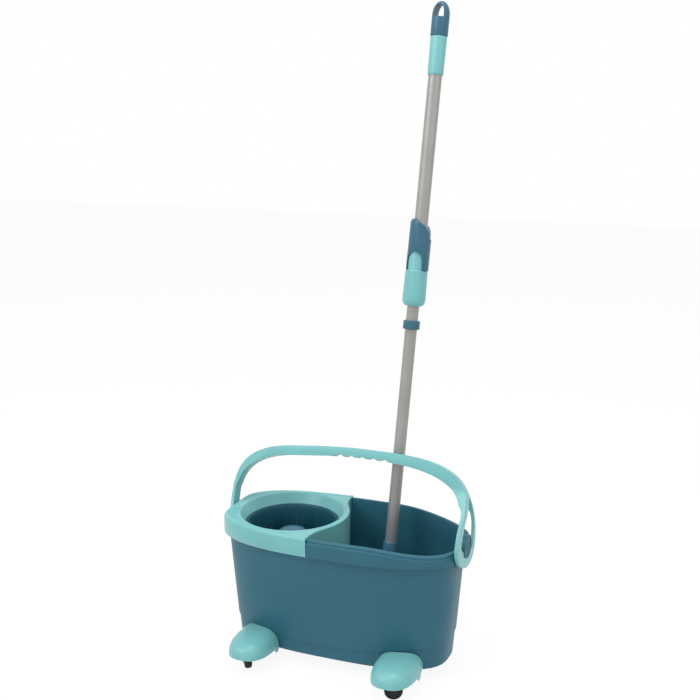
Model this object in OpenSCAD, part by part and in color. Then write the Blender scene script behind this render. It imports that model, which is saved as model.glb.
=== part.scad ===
// Spin mop: wheeled bucket with a spinning wringer basket, folding bail handle and telescopic mop.
// Millimetres. +Z is up, the floor is z = 0, the bucket's long axis is X and the front faces -Y.

/* [Bucket] */
// Length of the bucket over its rim
bucket_length = 466; // [440:2:500]
// Width of the bucket over its rim
bucket_width = 234; // [226:2:250]
// Height of the bucket's rim above the floor
rim_height = 261; // [245:1:280]
// How far the rim dips at the water end
rim_dip = 12; // [0:0.5:16]
// Height of the band round the rim
band_height = 33; // [22:1:36]
// How far the band stands out from the wall
band_step = 7; // [5:0.5:9]
// Thickness of the band's skirt
band_skirt = 2.6; // [2:0.1:4]
// Height of the underside above the floor
base_clearance = 22; // [18:1:30]
// Length of the base
base_length = 416; // [390:2:430]
// Width of the base
base_width = 180; // [172:2:200]
// Wall thickness
bucket_wall = 2.6; // [2:0.1:4]
// Height of the plinth moulded round the base
plinth_height = 30; // [20:1:40]
// How far the plinth is set in from the wall
plinth_step = 1.4; // [0.5:0.1:2.5]

/* [Splash insert] */
// Distance of the basket's centre from the middle of the bucket
basket_offset = 107; // [98:1:112]
// Distance of the insert's straight edge from the middle of the bucket
insert_edge = 28; // [15:1:40]
// Height of the insert's rim above the bucket's rim
insert_rise = 2.5; // [0.5:0.5:4]
// Thickness of the insert's flange
insert_flange = 3.2; // [2:0.1:4]
// Thickness of the insert's walls
insert_wall = 2.6; // [2:0.1:3.5]
// Outer radius of the curtain wall round the basket
curtain_radius = 108; // [104:1:112]
// Depth of the curtain wall below the rim
curtain_depth = 148; // [90:2:170]
// Radius of the funnel's mouth
funnel_radius = 97.5; // [95:0.5:101]
// Radius of the basket opening
opening_radius = 87.5; // [84:0.5:90]
// Height of the basket opening below the rim
funnel_drop = 17; // [8:1:20]

/* [Basket] */
// Radial gap between the basket and the opening
basket_gap = 1.5; // [1:0.25:3]
// Depth of the basket
basket_depth = 94; // [80:1:110]
// How much narrower the basket's floor is than its rim, on the radius
basket_taper = 11; // [6:0.5:16]
// Thickness of the basket's wall
basket_wall = 2.4; // [2:0.1:3]
// Groups of drain slots round the wall
slot_groups = 16; // [8:1:18]
// Slots in a group
slots_per_group = 4; // [2:1:4]
// Width of a drain slot
slot_width = 2.2; // [1.5:0.1:3]
// Height of a drain slot
slot_height = 42; // [20:1:50]
// Angle between the slots of a group
slot_pitch = 4.4; // [4:0.1:5]
// Radius of the hub in the middle of the basket
hub_radius = 34; // [26:1:40]
// Height of the hub above the basket's floor
hub_height = 76; // [60:1:84]
// Radius of the steel pin that the basket turns on
basket_pin_radius = 4; // [3:0.25:5]

/* [Bail handle] */
// Height of the hinge axis above the floor
hinge_height = 244; // [236:1:250]
// Angle that the handle leans back at rest
handle_tilt = 18.9; // [15:0.1:21]
// Rise of the handle above the hinge axis
handle_rise = 148.6; // [140:0.2:160]
// How much lower the handle's crown is at the basket end
handle_skew = 6; // [0:0.5:8]
// Thickness of the handle across the grip
grip_thickness = 18; // [14:0.5:20]
// Thickness of the straps at the hinges
strap_thickness = 6; // [5:0.5:7]
// Depth of the grip, front to back
grip_depth = 22; // [18:1:26]
// Distance of the loop's front edge from the hinge axis
loop_half = 64; // [56:1:66]
// Distance of the loop's rear edge from the hinge axis
loop_back = 56; // [50:1:64]
// Depth of the loop below the hinge axis
loop_drop = 39; // [36:1:44]
// Width of the loop's front strap
front_strap = 24; // [20:1:28]
// Width of the loop's rear strap
rear_strap = 9; // [7:1:12]
// Height over which the loop narrows to the grip
loop_rise = 96; // [88:2:110]
// Radius of the hinge lug inside the loop
lug_radius = 20.95; // [17:0.05:22]
// Radius of the hinge boss at the basket end
boss_radius = 9; // [7:0.5:10]
// Radius of the strap's round end at the basket end
strap_end = 16; // [14:0.5:18]
// Finger scallops under the grip
scallops = 5; // [3:1:6]
// Distance between the scallops
scallop_pitch = 22; // [18:1:24]
// Depth of a scallop
scallop_depth = 3; // [1.5:0.5:4]
// Distance of the middle scallop from the middle of the handle
scallop_offset = 18; // [0:1:24]

/* [Castors] */
// Distance of a castor's swivel axis from the middle, along the bucket
castor_x = 133.5; // [125:0.5:140]
// Distance of a castor's swivel axis from the middle, across the bucket
castor_y = 141; // [136:1:146]
// Radius of a wheel
wheel_radius = 16.5; // [15:0.5:17]
// Width of a wheel
wheel_width = 12; // [9:0.5:14]
// Distance of the wheel's axle behind the swivel axis
castor_trail = 12; // [8:0.5:14]
// Radius of an axle
axle_radius = 2.5; // [2:0.25:3]
// Radius of a swivel stem
stem_radius = 4; // [3:0.25:5]
// Half length of a castor cover
cover_half_length = 41; // [38:1:46]
// Half width of a castor cover
cover_half_width = 68; // [66:1:72]
// Height of a castor cover
cover_height = 34; // [30:1:42]
// Height of the cover's lower edge above the floor
cover_edge = 33; // [32:0.5:38]
// Wall thickness of a cover
cover_wall = 2.5; // [2:0.1:3.5]

/* [Mop head] */
// Distance of the mop's foot from the middle of the bucket, along it
mop_x = 71; // [68:1:80]
// Distance of the mop's foot from the middle of the bucket, across it
mop_y = 14; // [8:1:15]
// Radius of the pad
pad_radius = 63; // [55:1:66]
// Thickness of the pad
pad_thickness = 19; // [14:1:22]
// Radius of the plate that the pad is held on
plate_radius = 54; // [45:1:56]
// Radius of the ball in the foot joint
ball_radius = 9; // [7:0.5:11]
// Lean of the pole towards the back
lean_back = 10.1; // [9:0.1:11]
// Lean of the pole towards the water end
lean_side = 1.65; // [0:0.05:4]

/* [Pole] */
// Outside radius of the upper tube
upper_radius = 12.5; // [11.5:0.25:14]
// Outside radius of the lower tube
lower_radius = 11; // [9:0.25:11]
// Wall thickness of the tubes
tube_wall = 0.9; // [0.6:0.1:1.2]
// Length of the mop from its foot joint to the top of its cap
mop_length = 1146; // [1000:2:1300]
// Height of the tube connector's top above the foot joint
connector_top = 154; // [130:2:180]
// Outside radius of the connector
connector_radius = 14; // [12.5:0.5:16]
// Height of the stop ring above the foot joint
ring_start = 552; // [500:2:600]
// Width of the stop ring
ring_width = 16; // [10:1:24]
// Outside radius of the stop ring
ring_radius = 15.5; // [14:0.5:18]
// Gap between the stop ring and the lock slider
ring_gap = 27; // [20:1:40]
// Length of the grip
grip_length = 159; // [140:1:180]
// Largest radius of the grip
grip_radius = 21.5; // [20:0.5:23]
// Length of the lock slider
slider_length = 65; // [60:1:70]
// Travel of the lock slider
slider_travel = 10; // [6:1:12]
// Length of the end cap
cap_length = 62; // [50:1:75]
// Radius of the end cap
cap_radius = 16; // [15.5:0.5:18]
// Length of the sleeve below the end cap
sleeve_length = 70; // [50:1:90]
// Width of the hanging slot
hang_slot = 18; // [14:0.5:19]

/* [Hidden] */

$fn = 64;
teal = "#3f6e7e";
deep_teal = "#1c4855";
mint = "#7fbfbf";
hub_teal = "#4f8a9a";
steel = "#a6a5a0";
black = "#272a2b";

running = 0.05;
free = 0.3;
cut = 1;
plan_power = 2.8;
plan_points = 72;
far = 700;

rim_a = bucket_length / 2;
rim_b = bucket_width / 2;
top_a = rim_a - band_step;
top_b = rim_b - band_step;
base_a = base_length / 2;
base_b = base_width / 2;
wall_height = rim_height - base_clearance;
band_z = rim_height - band_height;
band_round = 3;
band_gusset = 0.8;
end_flat = 0.9;
end_plane = top_a + end_flat;
end_ease = 6;
seam_gap = 1.5;
dip_start = 0.15 * bucket_length;
dip_end = 0.46 * bucket_length;
dip_steps = 16;
floor_z = base_clearance + bucket_wall;

insert_top = rim_height + insert_rise;
insert_seat = insert_top - insert_flange;
opening_z = insert_top - funnel_drop - insert_rise;
curtain_z = rim_height - curtain_depth;

basket_radius = opening_radius - basket_gap;
basket_proud = 0.5;
basket_top = opening_z + basket_proud;
basket_z = basket_top - basket_depth;
basket_foot = basket_radius - basket_taper;
slot_start = 12;
slot_z = basket_z + slot_start;
post_z = basket_z - free;
post_foot = 26;
post_neck = 11;
post_flange = 4;
hub_wall = 2.4;
hub_crown = 22;
hub_z = basket_z + basket_wall;
hub_shoulder = hub_z + hub_height - hub_crown;
bush_wall = 4;
bush_radius = basket_pin_radius + bush_wall;
bush_height = 34;
bush_crown = 2;
pin_sink = 26;

strap_proud = 0.4;
arch_outer = rim_a + strap_proud;
arch_inner = arch_outer - strap_thickness;
arch_power = 3.8;
inner_power = 3.7;
shoulder_power = 3.2;
relief_rise = 80;
relief_power = 8;
inner_rise = handle_rise - grip_thickness;
loop_power = 1.2;
loop_sag = 12;
strap_step = 60;
strap_half = 13;
arch_steps = 48;
lug_hole = lug_radius + running;
boss_hole = boss_radius + running;
cap_stem = 5;
cap_depth = 9;
cap_rim = 1;
cap_overlap = 2;
side_steps = 24;
open_top = 84;
scallop_radius = 14;
lug_end = arch_outer + free;

side_x = [1, 1, -1, -1];
side_y = [-1, 1, -1, 1];
trail_angle = [21.5, 40, 126.5, 215];
wheel_gap = 1.5;
fork_plate_z = 2 * wheel_radius + wheel_gap;
fork_plate = 3.2;
fork_arm = 2;
fork_gap = 0.8;
fork_heel = 8;
fork_toe = 7;
fork_eye = 5;
fork_collar = 10;
stem_rise = 10;
stem_top = fork_plate_z + fork_plate + stem_rise;
boss_z = fork_plate_z + fork_plate + free;
tread_edge = 3;
rim_recess = 1.5;
web_rise = 8;
web_z = cover_edge + web_rise;
web_wall = 3;
cover_shift = 3.5;
cover_back = 41;
cover_plan_y = castor_y - cover_back;
cover_power = 2.5;
dome_points = 20;
lip = 0.4;
boss_wall = 3.5;
tongue_half = 12;
tongue_heel = 9;
tongue_gap = 3;
tongue_wall = 3.2;
screw_x = castor_x;
screw_inset = 22;
screw_y = base_b - screw_inset;
screw_radius = 1.9;
screw_head = 4;
screw_length = 12;
head_height = 2.4;

pad_gap = 0.6;
pad_z = floor_z + pad_gap;
plate_z = pad_z + pad_thickness;
plate_wall = 4;
socket_lift = 4.5;
foot_z = plate_z + plate_wall + ball_radius + socket_lift;
ring_end = ring_start + ring_width;
slider_z = ring_end + ring_gap;
grip_top = slider_z + grip_length;
cap_z = mop_length - cap_length;
sleeve_z = cap_z - sleeve_length;
tube_lap = 12;
upper_z = slider_z + tube_lap;
rod_radius = 4;
nut_inset = 45;
nut_z = upper_z + nut_inset;
nut_length = 30;
pump_travel = 150;
rod_spare = 8;
rod_top = nut_z + nut_length + pump_travel + rod_spare;
neck_radius = 16;
neck_foot = 9.5;
neck_start = 6.5;
neck_swell = 2;
neck_waist = 22;
neck_shoulder = 42;
mouth_bevel = 1.2;
liner_start = 6;
liner_wall = 2;
liner_radius = ball_radius + liner_wall;
socket_wall = 3;
socket_radius = ball_radius + socket_wall;
socket_lip = 1;
tube_seat = 60;
nut_gap = 21;
lower_top = nut_z - nut_gap;
plug_length = 20;
rivet_radius = 1.8;
screw_drop = 30;
cap_crown = 25;
cap_socket = 20;
sleeve_wall = 2;
sleeve_round = 3;
hang_wall = 6;
hang_bottom = 30;
hang_crown = 19;
shell_z = slider_z + slider_length + free;
shell_step = 1.2;
shell_radius = grip_radius - shell_step;
shell_wall = 2.2;
skirt_inner = shell_radius - shell_wall;
arch_window = 15;
arch_height = 34;
arch_top = shell_z + arch_height;
arch_crown = 16;
shell_depth = 31;
shell_floor = shell_z + shell_depth + slider_travel;
shoulder_share = 0.62;
shoulder_z = shell_z + shoulder_share * (grip_length - slider_length);
shoulder_step = 1.1;
shoulder_radius = shell_radius + shoulder_step;
collar_step = 2.4;
collar_wall = 3;
collar_radius = neck_radius - collar_step;
neck_length = 20;
neck_z = shell_z - neck_length;
slider_seat = neck_z - slider_travel - 2;
slider_gap = 3;
slider_hook = 5;
slider_top = shell_floor - slider_gap;

// Half sizes of the bucket's outside at a height
function body_half(z) = let (t = (z - base_clearance) / wall_height)
  [base_a + (top_a - base_a) * t, base_b + (top_b - base_b) * t];

// Points of a superellipse with half sizes a and b
function plan(a, b, power = plan_power, count = plan_points) = [
  for (i = [0 : count - 1])
    let (c = cos(360 * i / count), s = sin(360 * i / count))
      [a * sign(c) * pow(abs(c), 2 / power), b * sign(s) * pow(abs(s), 2 / power)]
];

// Distance along the bucket, eased to the planes that the handle's straps fold past
function eased(x) =
  let (over = max(end_ease - abs(abs(x) - end_plane), 0) / end_ease)
    sign(x) * (min(abs(x), end_plane) - end_ease * over * over / 4);

// Plan of the rim's outside
function rim_plan() = [for (p = plan(rim_a, rim_b)) [eased(p[0]), p[1]]];

// Height of the rim's top at a distance x along the bucket
function rim_top(x) =
  let (t = min(max((x - dip_start) / (dip_end - dip_start), 0), 1))
    rim_height - rim_dip * t * t * (3 - 2 * t);

// Share of the handle's skew at a distance x, none on the water side of the middle
function skew(x) =
  let (t = min(max(-2 * x / arch_outer, 0), 1))
    handle_skew * t * t * (3 - 2 * t);

// Upper half of a superellipse, from +x to -x, in the handle's plane
function arch(a, rise, power, left_power) = [
  for (i = [0 : arch_steps])
    let (
      c = cos(180 * i / arch_steps),
      s = sin(180 * i / arch_steps),
      n = c > 0 ? power : left_power,
      x = a * sign(c) * pow(abs(c), 2 / n)
    )
      [x, (rise - skew(x)) * pow(abs(s), 2 / n)]
];

// Distance of the loop's edge from its middle at a height above the hinge axis
function loop_width(half, h) = h < loop_rise
  ? grip_depth / 2 + (half - grip_depth / 2) * pow(cos(90 * h / loop_rise), loop_power)
  : grip_depth / 2;

// Width of the rear strap at a height above the hinge axis
function rear_width(h) = rear_strap * (1 + pow(max(1 - h / strap_step, 0), 2));

// Edges of the loop's opening at a height above the hinge axis
function open_front(h) = front_strap - loop_width(loop_half, h);
function open_rear(h) = loop_width(loop_back, h) - rear_width(h);

// Slice of the bucket's tapering body between two heights, set in by a distance
module body_slice(z0, z1, inset) {
  h0 = body_half(z0);
  h1 = body_half(z1);
  translate([0, 0, z0])
    linear_extrude(
      z1 - z0,
      scale = [(h1[0] - inset) / (h0[0] - inset), (h1[1] - inset) / (h0[1] - inset)],
      slices = 1
    )
      polygon(plan(h0[0] - inset, h0[1] - inset));
}

// Straight-sided plate with the rim's plan
module rim_slice(z0, z1) {
  translate([0, 0, z0])
    linear_extrude(z1 - z0)
      polygon(rim_plan());
}

// Space inside the skirt that hangs from the rim
module skirt_space(z0, z1) {
  translate([0, 0, z0])
    linear_extrude(z1 - z0)
      polygon(plan(rim_a - band_skirt, rim_b - band_skirt));
}

// Space above the rim where it dips at the water end, let down by a distance
module above_rim(drop) {
  rotate([90, 0, 0])
    linear_extrude(far, center = true)
      polygon(concat(
        [[dip_start, far]],
        [for (i = [0 : dip_steps])
          let (x = dip_start + (dip_end - dip_start) * i / dip_steps)
            [x, rim_top(x) - drop]],
        [[far, rim_top(far) - drop], [far, far]]
      ));
}

// Points of the lid at the rim's plan let out by a distance and down by a drop
function lid_ring(out, drop) = [
  for (p = rim_plan())
    [p[0] * (rim_a + out) / rim_a, p[1] * (rim_b + out) / rim_b, rim_top(p[0]) - drop]
];

// Space above the rim, which leaves its top dipped and its outer edge bevelled
module rim_lid() {
  n = plan_points;
  points = concat(
    lid_ring(-band_round, 0),
    lid_ring(band_round, 2 * band_round),
    lid_ring(band_round, -far)
  );
  under = concat(
    [[0, 1, n - 1]],
    [for (i = [1 : n / 2 - 2]) [i, i + 1, n - i - 1, n - i]],
    [[n / 2 - 1, n / 2, n / 2 + 1]]
  );
  slope = [for (i = [0 : n - 1]) each
    let (j = (i + 1) % n)
      [[i, n + i, n + j], [i, n + j, j]]];
  sides = [for (i = [0 : n - 1])
    let (j = (i + 1) % n)
      [n + i, 2 * n + i, 2 * n + j, n + j]];
  over = concat(
    [[2 * n, 3 * n - 1, 2 * n + 1]],
    [for (i = [1 : n / 2 - 2]) [2 * n + i, 3 * n - i, 3 * n - i - 1, 2 * n + i + 1]],
    [[2 * n + n / 2 - 1, 2 * n + n / 2 + 1, 2 * n + n / 2]]
  );
  polyhedron(points, concat(under, slope, sides, over));
}

// Slab of space with x between two limits
module x_range(x0, x1, z0, z1) {
  translate([x0, -far / 2, z0])
    cube([x1 - x0, far, z1 - z0]);
}

module basket_axis() {
  translate([-basket_offset, 0, 0])
    children();
}

// Lug that stands out of a bucket's end along the hinge axis, on a rib that ties it to the band
module hinge_boss(side, radius) {
  start = body_half(hinge_height)[0] - bucket_wall;
  translate([side * start, 0, hinge_height])
    rotate([0, side * 90, 0])
      cylinder(h = lug_end - start, r = radius);
  translate([side > 0 ? start : -end_plane, -radius / 2, band_z])
    cube([end_plane - start, radius, hinge_height - band_z]);
}

// Hole in a hinge lug for its cap's stem
module cap_hole(side) {
  translate([side * lug_end, 0, hinge_height])
    rotate([0, 90, 0])
      cylinder(h = 2 * cap_depth, r = cap_stem, center = true);
}

// Post in the bucket's floor for a cover screw
module screw_post(i) {
  translate([side_x[i] * screw_x, side_y[i] * screw_y, base_clearance])
    cylinder(h = screw_length + bucket_wall, r = 3 * screw_radius);
}

module screw_hole(i) {
  translate([side_x[i] * screw_x, side_y[i] * screw_y, base_clearance - cut])
    cylinder(h = screw_length + cut, r = screw_radius);
}

// Hollow between the band's skirt and the wall behind it
module band_hollow() {
  difference() {
    intersection() {
      skirt_space(band_z - cut, rim_height - band_skirt);
      x_range(band_skirt - insert_edge, end_plane - band_skirt - end_ease / 4, band_z - cut, rim_height);
    }
    body_slice(band_z - 2 * cut, rim_height, -band_gusset);
    above_rim(band_skirt);
  }
}

module bucket() {
  color(teal)
    difference() {
      union() {
        difference() {
          union() {
            body_slice(base_clearance, base_clearance + plinth_height, plinth_step);
            body_slice(base_clearance + plinth_height, rim_height, 0);
            intersection() {
              rim_slice(band_z, rim_height + cut);
              x_range(-insert_edge, far, band_z - cut, rim_height + 2 * cut);
            }
          }
          band_hollow();
          rim_lid();
        }
        hinge_boss(1, lug_radius);
        hinge_boss(-1, boss_radius);
      }
      body_slice(floor_z, rim_height + cut, bucket_wall);
      x_range(-far, -insert_edge, insert_seat - free, rim_height + cut);
      cap_hole(1);
      cap_hole(-1);
      for (i = [0 : 3])
        screw_hole(i);
    }
  color(teal)
    for (i = [0 : 3])
      difference() {
        screw_post(i);
        screw_hole(i);
      }
}

// Plan of the insert: the basket end of the rim and a disc round the basket
module insert_plan() {
  intersection() {
    polygon(rim_plan());
    translate([-far, -far / 2])
      square([far - insert_edge - seam_gap, far]);
  }
  translate([-basket_offset, 0])
    circle(curtain_radius);
}

// Curtain wall between the basket and the water
module curtain() {
  intersection() {
    union() {
      intersection() {
        basket_axis()
          tube(curtain_radius, curtain_radius - insert_wall, curtain_z, insert_seat + cut);
        x_range(-insert_edge - insert_wall - free, far, 0, far);
      }
      difference() {
        x_range(-insert_edge - insert_wall - free, -insert_edge - free, curtain_z, insert_seat + cut);
        basket_axis()
          cylinder(h = far, r = curtain_radius - insert_wall / 2);
      }
    }
    body_slice(floor_z, rim_height + cut, bucket_wall + free);
  }
}

module splash_insert() {
  color(mint)
    union() {
      difference() {
        union() {
          translate([0, 0, insert_seat])
            linear_extrude(insert_flange - band_round / 2)
              insert_plan();
          translate([0, 0, insert_top - band_round / 2])
            linear_extrude(band_round / 2)
              offset(delta = -band_round / 2)
                insert_plan();
        }
        basket_axis()
          cylinder(h = far, r = funnel_radius);
      }
      basket_axis()
        rotate_extrude()
          polygon([
            [funnel_radius + insert_wall, insert_seat],
            [funnel_radius + insert_wall, insert_top - band_round / 2],
            [funnel_radius, insert_top - band_round / 2],
            [opening_radius, opening_z],
            [opening_radius + insert_wall, opening_z - insert_wall / 2]
          ]);
      intersection() {
        difference() {
          rim_slice(band_z, insert_seat + cut);
          skirt_space(band_z - cut, insert_seat + 2 * cut);
        }
        x_range(-far, -insert_edge - seam_gap, band_z - cut, insert_seat + 2 * cut);
      }
      curtain();
    }
}

// Round tube standing on the z axis
module tube(outer, inner, z0, z1) {
  translate([0, 0, z0])
    difference() {
      cylinder(h = z1 - z0, r = outer);
      translate([0, 0, -cut])
        cylinder(h = z1 - z0 + 2 * cut, r = inner);
    }
}

module bearing_post() {
  color(teal)
    basket_axis()
      difference() {
        rotate_extrude()
          polygon([
            [0, floor_z], [post_foot, floor_z], [post_foot, floor_z + post_flange],
            [post_neck, post_z], [0, post_z]
          ]);
        translate([0, 0, post_z - pin_sink])
          cylinder(h = pin_sink + cut, r = basket_pin_radius);
      }
}

module basket_pin() {
  color(steel)
    basket_axis()
      translate([0, 0, post_z - pin_sink])
        cylinder(h = pin_sink + bush_height - bush_crown, r = basket_pin_radius);
}

module basket() {
  color(deep_teal)
    basket_axis()
      difference() {
        rotate_extrude()
          polygon([
            [bush_radius, basket_z],
            [basket_foot, basket_z],
            [basket_radius - basket_wall, basket_top - 2 * basket_wall],
            [basket_radius, basket_top - 2 * basket_wall],
            [basket_radius, basket_top],
            [basket_radius - basket_wall, basket_top],
            [basket_radius - 2 * basket_wall, basket_top - 2 * basket_wall],
            [basket_foot - basket_wall, basket_z + basket_wall],
            [bush_radius, basket_z + basket_wall]
          ]);
        for (g = [0 : slot_groups - 1], s = [0 : slots_per_group - 1])
          rotate(360 * g / slot_groups + slot_pitch * (s - (slots_per_group - 1) / 2))
            translate([basket_foot - 4 * basket_wall, -slot_width / 2, slot_z])
              cube([basket_radius, slot_width, slot_height]);
      }
}

module basket_hub() {
  color(hub_teal)
    basket_axis()
      rotate_extrude()
        polygon(concat(
          [[hub_radius - hub_wall, hub_z], [hub_radius, hub_z]],
          [for (a = [0 : 6 : 90]) [hub_radius * pow(cos(a), 0.7), hub_shoulder + hub_crown * sin(a)]],
          [for (a = [90 : -6 : 0])
            [(hub_radius - hub_wall) * pow(cos(a), 0.7), hub_shoulder + (hub_crown - hub_wall) * sin(a)]]
        ));
}

module basket_bush() {
  color("white")
    basket_axis()
      rotate_extrude()
        polygon([
          [basket_pin_radius + running, basket_z],
          [bush_radius, basket_z],
          [bush_radius, basket_z + bush_height],
          [0, basket_z + bush_height],
          [0, basket_z + bush_height - bush_crown],
          [basket_pin_radius + running, basket_z + bush_height - bush_crown]
        ]);
}

// Front view of the bail handle: the arch and the two straps down to the hinges
module arch_plan() {
  difference() {
    union() {
      polygon(arch(arch_outer, handle_rise, arch_power, arch_power));
      translate([-arch_outer, -far])
        square([2 * arch_outer, far]);
    }
    polygon(arch(arch_inner, inner_rise, shoulder_power, inner_power));
    polygon(arch(arch_inner + free, relief_rise, relief_power, relief_power));
    translate([-arch_inner, -2 * far])
      square([2 * arch_inner, 2 * far]);
    for (i = [0 : scallops - 1])
      translate([
        scallop_offset + scallop_pitch * (i - (scallops - 1) / 2),
        inner_rise + scallop_depth - scallop_radius
      ])
        circle(scallop_radius);
  }
}

// Side view of the handle's loop at the water end
module loop_plan() {
  difference() {
    polygon(concat(
      [for (a = [180 : 7.5 : 360]) [(a < 270 ? loop_half : loop_back) * cos(a), loop_drop * sin(a)]],
      [for (i = [1 : side_steps]) let (h = handle_rise * i / side_steps) [loop_width(loop_back, h), h]],
      [for (i = [side_steps : -1 : 1]) let (h = handle_rise * i / side_steps) [-loop_width(loop_half, h), h]]
    ));
    polygon(concat(
      [for (h = [0 : 4 : open_top]) [open_rear(h), h]],
      [for (h = [open_top : -4 : 0]) if (open_front(h) < open_rear(h) - 1) [open_front(h), h]],
      [for (a = [195 : 15 : 345]) [(a < 270 ? -open_front(0) : open_rear(0)) * cos(a), loop_sag * sin(a)]]
    ));
    circle(lug_hole);
  }
}

// Side view of the handle's strap at the basket end
module strap_plan() {
  difference() {
    union() {
      circle(strap_end);
      polygon([
        [-strap_half, 0], [strap_half, 0],
        [grip_depth / 2, handle_rise], [-grip_depth / 2, handle_rise]
      ]);
    }
    circle(boss_hole);
  }
}

module handle() {
  color(mint)
    translate([0, 0, hinge_height])
      rotate([-handle_tilt, 0, 0])
        intersection() {
          translate([0, far / 2, 0])
            rotate([90, 0, 0])
              linear_extrude(far)
                arch_plan();
          union() {
            rotate([90, 0, 90])
              linear_extrude(arch_outer + cut)
                loop_plan();
            rotate([90, 0, 90])
              translate([0, 0, -arch_outer - cut])
                linear_extrude(arch_outer + cut)
                  strap_plan();
          }
        }
}

// Cap that keeps the handle on a hinge lug
module hinge_cap(side, radius) {
  color(teal)
    translate([side * lug_end, 0, hinge_height])
      rotate([0, side * 90, 0])
        union() {
          translate([0, 0, -cap_depth])
            cylinder(h = cap_depth, r = cap_stem);
          cylinder(h = cap_rim, r = radius + cap_overlap);
          cylinder(h = 2 * cap_rim, r = radius - 2 * cap_overlap);
        }
}

module hinge_cap_right() {
  hinge_cap(1, lug_radius);
}

module hinge_cap_left() {
  hinge_cap(-1, boss_radius);
}

// Puts a piece at castor i, with its X axis along the trail
module at_castor(i) {
  translate([side_x[i] * castor_x, side_y[i] * castor_y, 0])
    rotate(trail_angle[i])
      children();
}

// Mirrors a piece made for the rear right corner to corner i
module at_corner(i) {
  mirror([side_x[i] < 0 ? 1 : 0, 0, 0])
    mirror([0, side_y[i] < 0 ? 1 : 0, 0])
      children();
}

// Outline of a dome's side, from its crown down to a depth below its edge
function dome_side(half, height, depth) = concat(
  [[half, -depth]],
  [for (i = [0 : dome_points])
    let (a = 180 * i / dome_points)
      [half * sign(cos(a)) * pow(abs(cos(a)), 2 / cover_power), height * pow(sin(a), 2 / cover_power)]],
  [[-half, -depth]]
);

// Dome of a castor cover, set in by a distance and carried down below its edge
module dome(inset, depth) {
  length = cover_half_length - inset;
  width = cover_half_width - inset;
  height = cover_height - inset;
  translate([castor_x + cover_shift, cover_plan_y, cover_edge])
    intersection() {
      translate([0, 0, -depth])
        linear_extrude(far)
          polygon(plan(length - lip, width - lip, cover_power, 2 * dome_points));
      rotate([90, 0, 0])
        linear_extrude(far, center = true)
          polygon(dome_side(length, height, depth + cut));
      rotate([90, 0, 90])
        linear_extrude(far, center = true)
          polygon(dome_side(width, height, depth + cut));
    }
}

// Plate across the dome that carries the castor's stem
module cover_web() {
  intersection() {
    dome(cover_wall / 2, 0);
    translate([0, 0, web_z])
      cube([far, far, web_wall]);
  }
}

module cover_body() {
  difference() {
    dome(0, 0);
    dome(cover_wall, cut);
    body_slice(base_clearance, rim_height, -free);
  }
  difference() {
    cover_web();
    body_slice(base_clearance, rim_height, -free);
  }
}

// Tongue that hooks under the bucket's base
module cover_tongue() {
  wall_y = base_b + tongue_gap;
  under = base_clearance - free - tongue_wall;
  translate([screw_x - tongue_half, screw_y - tongue_heel, under])
    cube([2 * tongue_half, wall_y + tongue_wall - screw_y + tongue_heel, tongue_wall]);
  translate([screw_x - tongue_half, wall_y, under])
    cube([2 * tongue_half, tongue_wall, web_z + web_wall - under]);
}

module castor_cover(i) {
  color(mint)
    at_corner(i)
      difference() {
        union() {
          cover_body();
          cover_tongue();
          translate([castor_x, castor_y, boss_z])
            cylinder(h = stem_top + cover_wall - boss_z, r = stem_radius + boss_wall);
        }
        translate([castor_x, castor_y, 0])
          cylinder(h = stem_top + free, r = stem_radius + running);
        translate([screw_x, screw_y, 0])
          cylinder(h = base_clearance, r = screw_radius);
      }
}

module castor_cover_1() {
  castor_cover(0);
}

module castor_cover_2() {
  castor_cover(1);
}

module castor_cover_3() {
  castor_cover(2);
}

module castor_cover_4() {
  castor_cover(3);
}

module cover_screws() {
  under = base_clearance - free - tongue_wall;
  color(steel)
    for (i = [0 : 3])
      at_corner(i)
        translate([screw_x, screw_y, 0])
          union() {
            translate([0, 0, under - head_height])
              cylinder(h = head_height, r = screw_head);
            translate([0, 0, under - cut])
              cylinder(h = screw_length + tongue_wall, r = screw_radius);
          }
}

// Side view of a fork arm
module arm_plan() {
  polygon([
    [-fork_heel, fork_plate_z + fork_plate / 2], [castor_trail + fork_toe, fork_plate_z + fork_plate / 2],
    [castor_trail + fork_eye, wheel_radius], [castor_trail - fork_eye, wheel_radius]
  ]);
  translate([castor_trail, wheel_radius])
    circle(fork_eye);
}

module castor_fork(i) {
  reach = wheel_width / 2 + fork_gap;
  color(black)
    at_castor(i)
      difference() {
        union() {
          translate([0, 0, fork_plate_z])
            cylinder(h = fork_plate, r = fork_collar);
          translate([-fork_heel, -reach - fork_arm, fork_plate_z])
            cube([fork_heel + castor_trail + fork_toe, 2 * (reach + fork_arm), fork_plate]);
          for (y = [-reach, reach + fork_arm])
            translate([0, y, 0])
              rotate([90, 0, 0])
                linear_extrude(fork_arm)
                  arm_plan();
        }
        translate([castor_trail, 0, wheel_radius])
          rotate([90, 0, 0])
            cylinder(h = far, r = axle_radius, center = true);
        translate([0, 0, fork_plate_z - cut])
          cylinder(h = far, r = stem_radius);
      }
}

module castor_stem(i) {
  color(steel)
    at_castor(i)
      translate([0, 0, fork_plate_z])
        cylinder(h = stem_top - fork_plate_z, r = stem_radius);
}

module castor_axle(i) {
  color(steel)
    at_castor(i)
      translate([castor_trail, 0, wheel_radius])
        rotate([90, 0, 0])
          cylinder(h = wheel_width + 2 * (fork_gap + fork_arm), r = axle_radius, center = true);
}

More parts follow.
